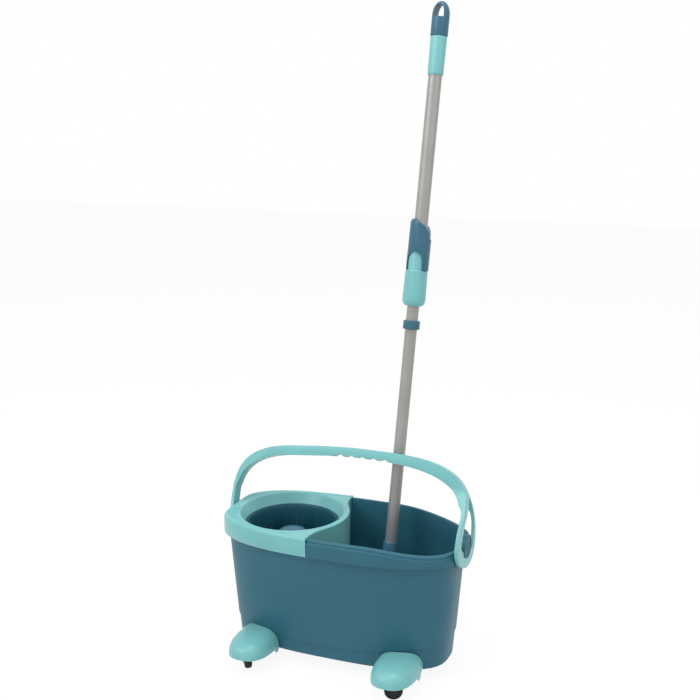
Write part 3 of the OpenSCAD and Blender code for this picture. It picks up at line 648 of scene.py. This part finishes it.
@dataclass(frozen=True)
class Oval:
    """A superellipse in plan."""

    half_length: float
    half_width: float
    power: float = 2.8

    def reach(self, angle: float) -> float:
        """Distance from the centre to the edge.

        Args:
            angle: direction in radians.

        Returns:
            The distance.
        """
        along = abs(math.cos(angle) / self.half_length) ** self.power
        across = abs(math.sin(angle) / self.half_width) ** self.power
        return (along + across) ** (-1 / self.power)

    def point(self, angle: float, z: float, limit: float = 9.0) -> Vector:
        """Edge point along an angle, eased flat where x nears a limit."""
        r = self.reach(angle)
        return Vector((eased(r * math.cos(angle), limit), r * math.sin(angle), z))

    def even_angles(self, count: int) -> list[float]:
        """Angles whose edge points are evenly spaced.

        Args:
            count: how many angles.

        Returns:
            The angles, from 0 round to a full turn.
        """
        samples = 2880
        fine = [math.tau * i / samples for i in range(samples + 1)]
        points = [self.point(a, 0.0) for a in fine]
        lengths = [0.0]
        for before, after in zip(points, points[1:]):
            lengths.append(lengths[-1] + (after - before).length)
        angles, k = [], 0
        for i in range(count):
            target = lengths[-1] * i / count
            while lengths[k + 1] < target:
                k += 1
            share = (target - lengths[k]) / (lengths[k + 1] - lengths[k])
            angles.append(fine[k] + share * (fine[k + 1] - fine[k]))
        return angles


@dataclass
class Bucket:
    """Tapered oval bucket with a banded rim, a plinth and two hinge lugs."""

    palette: Palette
    rim: Oval = Oval(0.233, 0.117)
    top: Oval = Oval(0.226, 0.110)
    base: Oval = Oval(0.208, 0.090)
    foot_z: float = 0.022
    rim_z: float = 0.261
    wall: float = 0.0026
    plinth: float = 0.027
    plinth_step: float = 0.0020
    step_rise: tuple[float, float] = (0.013, 0.023)
    step_reach: float = 0.002
    band: float = 0.033
    band_end: float = -0.028
    seat_z: float = 0.2599
    dip: float = 0.012
    dip_start: float = 0.0699
    dip_end: float = 0.2144
    dip_full: float = 0.010
    dip_none: float = 0.031
    end_plane: float = 0.2269
    hinge_z: float = 0.244
    lug_radius: float = 0.02095
    boss_radius: float = 0.009
    lug_end: float = 0.2337
    stem_radius: float = 0.0048
    stem_depth: float = 0.0088
    count: int = 160

    def body(self, z: float, inset: float) -> Oval:
        """The body's oval at a height.

        Args:
            z: the height.
            inset: how far the oval is set in.

        Returns:
            The oval.
        """
        share = (z - self.foot_z) / (self.rim_z - self.foot_z)
        long = self.base.half_length + (self.top.half_length - self.base.half_length) * share
        wide = self.base.half_width + (self.top.half_width - self.base.half_width) * share
        return Oval(long - inset, wide - inset)

    def lowered(self, point: Vector) -> Vector:
        """Moves a point of the rim down by the rim's dip towards the water end.

        Args:
            point: the point as it would be on a level rim.

        Returns:
            The point, lowered in full near the rim's top and not at all at the band's foot.
        """
        along = min(max((point.x - self.dip_start) / (self.dip_end - self.dip_start), 0.0), 1.0)
        below = self.rim_z - point.z
        share = min(max((self.dip_none - below) / (self.dip_none - self.dip_full), 0.0), 1.0)
        return point - Vector((0.0, 0.0, self.dip * share * along * along * (3 - 2 * along)))

    def step_lift(self, angle: float) -> float:
        """How far the plinth's step has risen at an angle round the body, most at the two ends."""
        basket_end, water_end = self.step_rise
        return (water_end if math.cos(angle) > 0 else basket_end) * math.cos(angle) ** 4

    def shell(self) -> bpy.types.Object:
        """The bucket's floor and wall.

        Returns:
            A closed skin, outside and inside.
        """
        step_z = self.foot_z + self.plinth
        floor_z = self.foot_z + self.wall
        s, w = self.plinth_step, self.wall
        profile = [
            (0.012, self.foot_z), (s + 0.004, self.foot_z), (s + 0.0014, self.foot_z + 0.0008),
            (s + 0.0002, self.foot_z + 0.003), (s, self.foot_z + 0.006), (s, step_z - 0.0012),
            (s * 0.7, step_z - 0.0003), (0.0002, step_z + 0.0002), (0.0, step_z + 0.0012),
            (0.0, 0.11), (0.0, 0.16), (0.0, 0.21), (0.0, 0.23), (0.0, self.rim_z - 0.0015),
            (0.0005, self.rim_z - 0.0004),
            (0.0012, self.rim_z), (w - 0.0010, self.rim_z), (w - 0.0003, self.rim_z - 0.0004),
            (w, self.rim_z - 0.0015), (w, 0.23), (w, 0.21), (w, 0.16), (w, 0.11), (w, floor_z + 0.008),
            (w + 0.0012, floor_z + 0.003), (w + 0.004, floor_z + 0.0006), (w + 0.010, floor_z),
        ]
        angles = self.rim.even_angles(self.count)
        rings = []
        for inset, z in profile:
            at_step = abs(z - step_z) < self.step_reach
            heights = [z + self.step_lift(a) if at_step else z for a in angles]
            ring = [self.lowered(self.body(h, inset).point(a, h)) for a, h in zip(angles, heights)]
            for point in ring:
                if point.x < self.band_end:
                    point.z = min(point.z, self.seat_z - (self.rim_z - z) / 4)
            rings.append(ring)
        return loft("bucket_shell", rings)

    def band_strip(self) -> bpy.types.Object:
        """The deep band round the water end of the rim, with its rounded top and hollow skirt.

        Returns:
            A closed skin swept along the rim.
        """
        z = self.rim_z
        low = z - self.band
        section = [
            (0.0099, z - 0.006), (0.0097, z - 0.0022), (0.0090, z - 0.0007), (0.0076, z + 0.0001),
            (0.0052, z), (0.0040, z - 0.0001), (0.0026, z - 0.0007), (0.0018, z - 0.0018),
            (0.0016, z - 0.0034), (0.0018, z - 0.0048), (0.0019, z - 0.0056), (0.0012, z - 0.0062),
            (0.0004, z - 0.0072), (0.0, z - 0.0088), (0.0, low + 0.0010), (0.0004, low + 0.0002),
            (0.0012, low), (0.0020, low + 0.0002),
            (0.0025, low + 0.0010), (0.0026, z - 0.007), (0.0040, z - 0.0052), (0.0071, z - 0.0050),
        ]
        stop = self._end_angle()
        angles = [-stop + 2 * stop * i / self.count for i in range(self.count + 1)]
        rings = []
        for a in angles:
            ring = []
            for inset, height in section:
                oval = Oval(self.rim.half_length - inset, self.rim.half_width - inset)
                ring.append(self.lowered(oval.point(a, height, self.end_plane - min(inset, 0.0026))))
            rings.append(ring)
        return loft("band_strip", rings)

    def _end_angle(self) -> float:
        """Angle in radians, between a quarter and a half turn, at which the rim reaches the band's end."""
        return halved(math.pi / 2, math.pi, lambda a: self.rim.point(a, 0.0).x > self.band_end)

    def lug(self, side: int, radius: float) -> bpy.types.Object:
        """A round lug that carries the handle.

        Args:
            side: 1 at the water end, -1 at the basket end.
            radius: the lug's radius.

        Returns:
            The lug, along the X axis.
        """
        start = self.body(self.hinge_z, 0.0).half_length - self.wall
        depth = self.lug_end - start
        edge = 0.0005
        piece = turned(f"lug_{side}", [(radius, 0.0), (radius, depth - edge), (radius - edge, depth)])
        lay_outward(piece, side, start, self.hinge_z)
        return piece

    def hinge_cap(self, side: int, node: str, radius: float) -> bpy.types.Object:
        """The cap on a lug's end, dished in steps about its stem.

        Args:
            side: 1 at the water end, -1 at the basket end.
            node: the CAD node that it stands for.
            radius: the lug's radius.

        Returns:
            The cap, along the X axis.
        """
        steps = (
            (1.02, 0.0), (1.02, 0.0012), (1.0, 0.0018), (0.90, 0.0018), (0.87, 0.0002), (0.70, 0.0002),
            (0.66, 0.0012), (0.50, 0.0012), (0.46, 0.0001), (0.30, 0.0001), (0.26, 0.0016), (0.24, 0.0018),
        )
        stem = [(self.stem_radius, -self.stem_depth), (self.stem_radius, 0.0)]
        piece = turned(node + "_dressed", stem + [(share * radius, rise) for share, rise in steps])
        lay_outward(piece, side, self.lug_end, self.hinge_z)
        smooth(piece)
        return piece

    def build(self) -> None:
        """Builds the bucket and dresses its caps, post and pin."""
        shell = self.shell()
        fuse(shell, self.band_strip())
        fuse(shell, self.lug(1, self.lug_radius))
        fuse(shell, self.lug(-1, self.boss_radius))
        smooth(shell)
        shell.name = "bucket_body"
        self.palette.fit(shell, "bucket", "bucket", Palette.BODY)
        for side, node, radius in (
            (1, "hinge_cap_right", self.lug_radius), (-1, "hinge_cap_left", self.boss_radius),
        ):
            self.palette.fit(self.hinge_cap(side, node, radius), node, "bucket", Palette.BODY)
        self.palette.dress_nodes(Palette.BODY, "bearing_post")
        self.palette.dress_nodes(Palette.STEEL, "basket_pin", "cover_screws")


@dataclass
class SplashInsert:
    """Mint insert that clips over the basket end: rim, funnel and the curtain beside the water."""

    palette: Palette
    bucket: Bucket
    centre: float = -0.107
    top_z: float = 0.2635
    seat_z: float = 0.2603
    opening_z: float = 0.244
    opening: float = 0.0875
    funnel: float = 0.0975
    curtain: float = 0.108
    curtain_z: float = 0.113
    edge: float = -0.0295
    wall: float = 0.0026
    sunk: float = 0.0002
    gap: float = 0.0004
    blend: float = 12.0
    far: float = 0.5
    count: int = 200

    def outline(self, turn: float) -> tuple[float, bool]:
        """Distance from the basket's axis to the insert's edge.

        Args:
            turn: angle about the basket's axis, in radians.

        Returns:
            The distance, and whether the edge there lies over the rim.
        """
        over_rim = self.ray(self.bucket.rim, turn)
        ahead = math.cos(turn)
        straight = (self.edge - self.centre) / ahead if ahead > 1e-6 else math.inf
        if over_rim < straight:
            return over_rim, True
        return (self.curtain ** self.blend + straight ** self.blend) ** (1 / self.blend), False

    def ray(self, oval: Oval, turn: float) -> float:
        """Distance from the basket's axis to an oval.

        Args:
            oval: the oval.
            turn: direction from the axis, in radians.

        Returns:
            The distance.
        """

        def inside(reach: float) -> bool:
            """Whether a point at this distance lies within the oval."""
            x = self.centre + reach * math.cos(turn)
            y = reach * math.sin(turn)
            return abs(x / oval.half_length) ** oval.power + abs(y / oval.half_width) ** oval.power < 1

        return halved(0.0, self.far, inside)

    def corner(self) -> float:
        """Angle in radians at which the straight edge reaches the rim."""
        return halved(0.0, math.pi / 2, lambda turn: not self.outline(turn)[1])

    def turns(self) -> list[float]:
        """Angles of the insert's rings.

        Returns:
            Even angles, but with a close pair at each corner of the straight edge.
        """
        corner = self.corner()
        step, spare = 2e-4, 0.6
        even = [math.tau * i / self.count - math.pi for i in range(self.count)]
        near = spare * math.tau / self.count
        kept = [a for a in even if abs(abs(a) - corner) > near]
        return sorted(kept + [corner - step, corner + step, -corner + step, -corner - step])

    def level(
        self, turns: Sequence[float], rim_inset: float, rim_z: float, inner_inset: float, inner_z: float,
    ) -> Ring:
        """One ring round the insert's edge.

        Args:
            turns: the ring's angles.
            rim_inset: how far the ring is set in where it lies over the rim.
            rim_z: its height there.
            inner_inset: how far it is set in along the curtain.
            inner_z: its height there.

        Returns:
            The ring's points.
        """
        ring = []
        for turn in turns:
            reach, on_rim = self.outline(turn)
            reach -= rim_inset if on_rim else inner_inset
            x = self.centre + reach * math.cos(turn)
            if on_rim:
                x = eased(x, self.bucket.end_plane - rim_inset)
            ring.append(Vector((x, reach * math.sin(turn), rim_z if on_rim else inner_z)))
        return ring

    def round_axis(self, turns: Sequence[float], radius: float, z: float) -> Ring:
        """A ring round the basket's axis."""
        return [Vector((self.centre + radius * math.cos(t), radius * math.sin(t), z)) for t in turns]

    def cap(self) -> bpy.types.Object:
        """The rim cap with its funnel, its stepped top and its skirt.

        Returns:
            A closed skin.
        """
        turns = self.turns()
        low = self.bucket.rim_z - self.bucket.band
        top, seat, w = self.top_z, self.seat_z, self.wall
        inner = (
            (self.opening + w, self.opening_z - 0.0008), (self.opening + 0.0006, self.opening_z - 0.0009),
            (self.opening, self.opening_z), (self.opening + 0.0005, self.opening_z + 0.0008),
            (self.funnel - 0.0014, top - 0.0030), (self.funnel - 0.0004, top - 0.0014),
            (self.funnel + 0.0006, top - 0.0005), (self.funnel + 0.0018, top - 0.0002),
            (self.funnel + 0.0028, top - 0.0006), (self.funnel + 0.0036, top - 0.0014),
        )
        outer = (
            (0.0090, top - 0.0014, 0.0052, top - 0.0013), (0.0080, top - 0.0007, 0.0044, top - 0.0006),
            (0.0070, top, 0.0034, top), (0.0056, top, 0.0024, top),
            (0.0032, top - 0.0010, 0.0012, top - 0.0004), (0.0014, top - 0.0028, 0.0003, top - 0.0013),
            (0.0004, top - 0.0052, 0.0, top - 0.0024),
            (0.0, top - 0.0080, 0.0, seat + 0.0004), (0.0, low + 0.0008, 0.0, seat + 0.0002),
            (0.0006, low, 0.0004, seat), (w - 0.0002, low, w - 0.0006, seat),
            (w, 0.234, w, seat), (w, seat - 0.0020, w + 0.0010, seat),
        )
        rings = [self.round_axis(turns, radius, z) for radius, z in inner]
        rings += [self.level(turns, *place) for place in outer]
        rings.append(self.round_axis(turns, self.funnel + 0.0030, seat - 0.0010))
        return loft("splash_insert_body", rings, closed=True)

    def curtain_wall(self) -> bpy.types.Object:
        """The wall that hangs between the basket and the water.

        Returns:
            A closed skin.
        """
        steps, end_gap = 110, 0.004
        corner = self.corner() - end_gap
        turns = [corner * (2 * i / steps - 1) for i in range(steps + 1)]
        foot = self.curtain_z
        levels = (
            (foot, 0.0007), (foot + 0.0008, 0.0), (0.150, 0.0), (0.190, 0.0), (0.230, 0.0),
            (self.seat_z + 0.0012, 0.0),
        )
        rings = []
        for z, shrink in levels:
            cavity = self.bucket.body(z, self.bucket.wall + self.gap)
            reaches = [min(self.outline(t)[0] - self.sunk, self.ray(cavity, t)) for t in turns]
            outside, inside = (
                [
                    Vector((self.centre + (r - inset) * math.cos(t), (r - inset) * math.sin(t), z))
                    for t, r in zip(turns, reaches)
                ]
                for inset in (shrink, self.wall - shrink)
            )
            rings.append(outside + inside[::-1])
        return loft("curtain_wall", rings)

    def build(self) -> None:
        """Builds the insert."""
        piece = self.cap()
        fuse(piece, self.curtain_wall())
        smooth(piece, 38.0)
        self.palette.fit(piece, "splash_insert", "bucket", Palette.MINT)


@dataclass
class SpinBasket:
    """The slotted wringer basket on its bush, with its domed hub."""

    palette: Palette

    def build(self) -> None:
        """Rounds and dresses the basket's pieces."""
        for node, finish, width in (("basket", Palette.BASKET, 0.0006), ("basket_hub", Palette.HUB, 0.0005)):
            self.palette.fit(softened(node, node + "_dressed", width, 2), node, "spin_basket", finish)
        self.palette.dress_nodes(Palette.NYLON, "basket_bush")


@dataclass
class BailHandle:
    """The arched handle with its grip scallops, its loop and its strap."""

    palette: Palette
    rounding: float = 0.0022

    def build(self) -> None:
        """Rounds and dresses the handle."""
        piece = softened("handle", "handle_bar", self.rounding, 4, 50.0)
        self.palette.fit(piece, "handle", "bail_handle", Palette.MINT)


@dataclass
class Castor:
    """One corner's castor: cover, fork, stem, axle and wheel."""

    palette: Palette
    bucket: Bucket
    index: int
    side_x: int
    side_y: int
    x: float = 0.1335
    shift: float = 0.0047
    plan_y: float = 0.100
    half_length: float = 0.0400
    half_width: float = 0.066
    edge_z: float = 0.031
    edge_slope: float = 0.035
    height: float = 0.0290
    hook_width: float = 0.0022
    wall: float = 0.0025
    plan_power: float = 2.6
    side_power: float = 3.3
    rise_power: float = 2.63
    clearance: float = 0.0003
    rounding: float = 0.0006
    count: int = 96

    def dome(self, name: str, inset: float, drop: float) -> bpy.types.Object:
        """The cover's dome as a solid.

        Args:
            name: the solid's name.
            inset: how far its skin is set in.
            drop: how far its foot is carried down.

        Returns:
            The solid, at the castor's corner.
        """
        layers, last_lean = 18, math.radians(87)
        rings = []
        long, wide, high = self.half_length - inset, self.half_width - inset, self.height - inset
        x = self.side_x * (self.x + self.shift)
        y = self.side_y * self.plan_y
        turns = [math.tau * i / self.count for i in range(self.count)]
        for k in range(-1, layers + 1):
            lean = last_lean * max(k, 0) / layers
            share = math.cos(lean) ** (2 / self.side_power)
            rise = high * math.sin(lean) ** (2 / self.rise_power)
            oval = Oval(long * share, wide * share, self.plan_power)
            ring = []
            for turn in turns:
                point = oval.point(turn, 0.0) + Vector((x, y, 0.0))
                inward = self.plan_y + self.half_width - self.side_y * point.y
                edge = self.edge_z - self.edge_slope * inward * (1 - rise / high)
                point.z = edge + (rise if k >= 0 else -drop)
                ring.append(point)
            rings.append(ring)
        return loft(name, rings)

    def hook(self, end: int) -> bpy.types.Object:
        """A pointed hook at one end of the cover, which reaches under the bucket's base.

        Args:
            end: 1 for the end towards +X, -1 for the other.

        Returns:
            The hook.
        """
        side = (
            (0.1045, 0.036), (0.1045, 0.0300), (0.0950, 0.0190), (0.0930, 0.0192), (0.0850, 0.0230),
            (0.0850, 0.036),
        )
        sunk = 0.0001  # so that the hook and the cover share no face
        x = self.side_x * (self.x + self.shift) + end * (self.half_length - sunk)
        rings = [
            [Vector((x - end * depth, self.side_y * y, z)) for y, z in side]
            for depth in (0.0, self.hook_width)
        ]
        return loft("cover_hook", rings)

    def cover(self) -> bpy.types.Object:
        """The hollow cover, cut to the bucket's side.

        Returns:
            The cover.
        """
        piece = self.dome(f"castor_cover_{self.index}_dome", 0.0, 0.0)
        below = 0.002
        cut(piece, self.dome("dome_hollow", self.wall, below))
        for end in (1, -1):
            fuse(piece, self.hook(end))
        angles = self.bucket.rim.even_angles(self.count)
        side = [
            [self.bucket.body(z, -self.clearance).point(a, z) for a in angles]
            for z in (self.bucket.foot_z - below, 0.060, 0.100)
        ]
        cut(piece, loft("bucket_side", side))
        bevel(piece, self.rounding, 2, 40.0)
        smooth(piece)
        return piece

    def build(self) -> None:
        """Builds the cover and dresses the castor's other pieces."""
        self.palette.fit(self.cover(), f"castor_cover_{self.index}", "bucket", Palette.MINT)
        for part, finish, body in (("fork", Palette.BLACK, "castor"), ("wheel", Palette.RUBBER, "wheel")):
            node = f"castor_{part}_{self.index}"
            piece = softened(node, node + "_dressed", 0.0005, 2)
            self.palette.fit(piece, node, f"{body}_{self.index}", finish)
        self.palette.dress_nodes(Palette.STEEL, f"castor_stem_{self.index}")
        self.palette.dress_nodes(Palette.BLACK, f"castor_axle_{self.index}")


# ---- mop


@dataclass
class MopHead:
    """The round head: plate, rivets, ball and the yarn fringe under the plate."""

    palette: Palette
    x: float = 0.071
    y: float = 0.014
    floor_z: float = 0.0252
    pad_radius: float = 0.0655
    inner_radius: float = 0.018
    layers: int = 3
    layer_step: float = 0.0045
    strands: int = 150
    patterns: int = 15
    yarn_radius: float = 0.0021
    yarn_sides: int = 6
    steps: int = 14
    ragged: float = 0.004
    swirl: float = 0.22
    wave: float = 0.0012
    stray: float = 0.02
    seed: int = 11

    def strand(self, dice: random.Random, turn: float, layer: int) -> list[Vector]:
        """The line of one yarn loop, out from under the plate and back in.

        Args:
            dice: source of chance.
            turn: direction of the loop from the centre.
            layer: 0 for the lowest layer, and more for the ones above.

        Returns:
            Points of the loop.
        """
        reach = self.pad_radius - self.ragged - self.ragged * layer * dice.random()
        swirl = dice.uniform(-self.swirl, self.swirl)
        points = []
        for i in range(self.steps + 1):
            t = i / self.steps
            far = math.sin(math.pi * t)
            out = self.inner_radius + (reach - self.inner_radius) * far ** 0.8
            side = turn + swirl * far + (t - 0.5) * 0.10
            wave = self.wave * math.sin(5 * turn + 9 * t)
            z = self.floor_z + self.yarn_radius + self.layer_step * (layer + 1 - far) + wave
            points.append(Vector((self.x + out * math.cos(side), self.y + out * math.sin(side), z)))
        return points

    def tube(self, name: str, line: Sequence[Vector]) -> bpy.types.Object:
        """A yarn drawn along a line.

        Args:
            name: the yarn's name.
            line: the points that it follows.

        Returns:
            The yarn as a closed skin.
        """
        rings = []
        for i, point in enumerate(line):
            ahead = line[min(i + 1, len(line) - 1)] - line[max(i - 1, 0)]
            side = ahead.cross(Vector((0, 0, 1))).normalized()
            up = side.cross(ahead).normalized()
            rings.append([
                point + self.yarn_radius * (math.cos(a) * side + math.sin(a) * up)
                for a in (math.tau * k / self.yarn_sides for k in range(self.yarn_sides))
            ])
        return loft(name, rings)

    def fringe(self) -> bpy.types.Object:
        """The whole fringe: a few yarn loops, copied round the plate.

        Returns:
            One piece of many yarns.
        """
        dice = random.Random(self.seed)
        patterns = [
            self.tube(f"yarn_{k}", self.strand(dice, math.tau * k / self.patterns, k % self.layers))
            for k in range(self.patterns)
        ]
        centre = Matrix.Translation((self.x, self.y, 0.0))
        yarns = []
        for k in range(self.strands):
            pattern = patterns[k % self.patterns]
            yarn = pattern.copy()
            yarn.data = pattern.data.copy()
            home = math.tau * (k % self.patterns) / self.patterns
            turn = math.tau * k / self.strands + dice.uniform(-self.stray, self.stray) - home
            yarn.data.transform(centre @ Matrix.Rotation(turn, 4, "Z") @ centre.inverted())
            bpy.context.scene.collection.objects.link(yarn)
            yarns.append(yarn)
        for pattern in patterns:
            bpy.data.objects.remove(pattern, do_unlink=True)
        piece = join("yarn_fringe", yarns)
        smooth(piece, 60.0)
        return piece

    def build(self) -> None:
        """Builds the fringe and dresses the head's other pieces."""
        fringe = self.fringe()
        self.palette.fit(fringe, "mop_pad", "mop_head", Palette.YARN)
        plate = softened("pad_plate", "pad_plate_dressed", 0.0006, 2)
        self.palette.fit(plate, "pad_plate", "mop_head", Palette.BODY)
        self.palette.dress_nodes(Palette.STEEL, "pad_rivets")
        self.palette.dress_nodes(Palette.BLACK, "foot_ball", "joint_liner")


@dataclass
class Pole:
    """The two tubes with their connector, stop ring, grip, lock slider and end cap."""

    palette: Palette

    def build(self) -> None:
        """Rounds and dresses the pole's pieces."""
        rounded = (
            ("tube_connector", "lower_pole", Palette.TRIM, 0.0008),
            ("stop_ring", "pole_carrier", Palette.TRIM, 0.0005),
            ("grip_shell", "upper_pole", Palette.TRIM, 0.0009),
            ("lock_slider", "lock", Palette.MINT, 0.0010),
            ("cap_sleeve", "upper_pole", Palette.MINT, 0.0005),
            ("end_cap", "upper_pole", Palette.TRIM, 0.0010),
        )
        for node, body, finish, width in rounded:
            self.palette.fit(softened(node, node + "_dressed", width), node, body, finish)
        self.palette.dress_nodes(Palette.TUBE, "lower_tube", "upper_tube")
        self.palette.dress_nodes(Palette.STEEL, "connector_screw", "twisted_rod", "lock_spring")
        self.palette.dress_nodes(Palette.BLACK, "rod_plug", "drive_nut")


# ---- studio


@dataclass
class Studio:
    """Pale floor, soft lights and the camera."""

    camera_place: tuple[float, float, float] = (0.72194, -1.80840, 1.03900)
    camera_azimuth: float = 21.5
    camera_elevation: float = 13.2
    lens: float = 57.7
    world_strength: float = 0.46
    floor_glow: float = 0.86
    floor_white: float = 1.06
    floor_grey: float = 0.93
    floor_size: float = 14.0
    floor_z: float = -0.0006
    aim: tuple[float, float, float] = (0.0, 0.0, 0.35)

    def camera(self) -> None:
        """Adds the camera at the viewing angle."""
        data = bpy.data.cameras.new("camera")
        data.lens = self.lens
        data.sensor_width = 36.0
        camera = bpy.data.objects.new("camera", data)
        camera.location = self.camera_place
        camera.rotation_euler = (
            math.radians(90 - self.camera_elevation), 0.0, math.radians(self.camera_azimuth),
        )
        bpy.context.scene.collection.objects.link(camera)
        bpy.context.scene.camera = camera

    @staticmethod
    def seen(n: Nodes) -> bpy.types.NodeSocket:
        """Picks out the rays that show the backdrop.

        Args:
            n: the tree that needs the mask.

        Returns:
            1 for rays from the camera, through clear pieces or mirrored, and 0 for the rest.
        """
        rays = n.add("ShaderNodeLightPath").outputs
        direct = n.maths("MAXIMUM", rays["Is Camera Ray"], rays["Is Transmission Ray"])
        return n.maths("MAXIMUM", direct, rays["Is Glossy Ray"])

    def floor(self) -> None:
        """Adds the floor, which shows white to the camera and in reflections."""
        deselect()
        bpy.ops.mesh.primitive_plane_add(size=self.floor_size, location=(0.0, 0.0, self.floor_z))
        floor = bpy.context.object
        floor.name = "studio_floor"
        material = bpy.data.materials.new("studio_floor")
        material.use_nodes = True
        material.node_tree.nodes.clear()
        n = Nodes(material.node_tree)
        grey = self.floor_grey
        diffuse = n.add("ShaderNodeBsdfDiffuse", {"Color": (grey, grey, grey, 1.0)})
        glow = n.add("ShaderNodeEmission", {"Color": (1.0, 1.0, 1.0, 1.0), "Strength": self.floor_white})
        share = n.maths("MULTIPLY", self.seen(n), self.floor_glow)
        mix = n.add("ShaderNodeMixShader", {0: share, 1: diffuse.outputs[0], 2: glow.outputs[0]})
        n.add("ShaderNodeOutputMaterial", {"Surface": mix.outputs[0]})
        floor.data.materials.append(material)

    def world(self) -> None:
        """Sets a soft sky that shows white to the camera."""
        world = bpy.data.worlds.new("studio")
        bpy.context.scene.world = world
        world.use_nodes = True
        world.node_tree.nodes.clear()
        n = Nodes(world.node_tree)
        strength = n.spread(self.seen(n), self.world_strength, 1.0)
        sky = n.add("ShaderNodeBackground", {"Color": (1.0, 1.0, 1.0, 1.0), "Strength": strength})
        n.add("ShaderNodeOutputWorld", {"Surface": sky.outputs[0]})

    def lamp(self, name: str, place: tuple[float, float, float], size: float, power: float) -> None:
        """Adds a square soft light that faces the mop.

        Args:
            name: the lamp's name.
            place: where it stands.
            size: its side.
            power: its power in watts.
        """
        data = bpy.data.lights.new(name, "AREA")
        data.size = size
        data.energy = power
        lamp = bpy.data.objects.new(name, data)
        lamp.location = place
        aim = Vector(self.aim) - Vector(place)
        lamp.rotation_euler = aim.to_track_quat("-Z", "Y").to_euler()
        bpy.context.scene.collection.objects.link(lamp)

    def build(self) -> None:
        """Sets up the whole studio."""
        scene = bpy.context.scene
        scene.view_settings.view_transform = "Standard"
        self.camera()
        self.floor()
        self.world()
        self.lamp("key_light", (-1.5, -1.9, 2.5), 1.5, 29.0)
        self.lamp("side_light", (2.1, -0.5, 1.9), 1.2, 6.0)
        self.lamp("top_light", (0.1, -0.2, 2.9), 1.6, 28.0)
        log.info("studio ready")


def main() -> None:
    """Builds every sub-assembly in order."""
    Studio().build()
    palette = Palette()
    bucket = Bucket(palette)
    bucket.build()
    SplashInsert(palette, bucket).build()
    SpinBasket(palette).build()
    BailHandle(palette).build()
    corners = ((1, -1), (1, 1), (-1, -1), (-1, 1))
    for index, (side_x, side_y) in enumerate(corners, start=1):
        Castor(palette, bucket, index, side_x, side_y).build()
    MopHead(palette).build()
    Pole(palette).build()
    deselect()


if __name__ == "__main__":
    main()
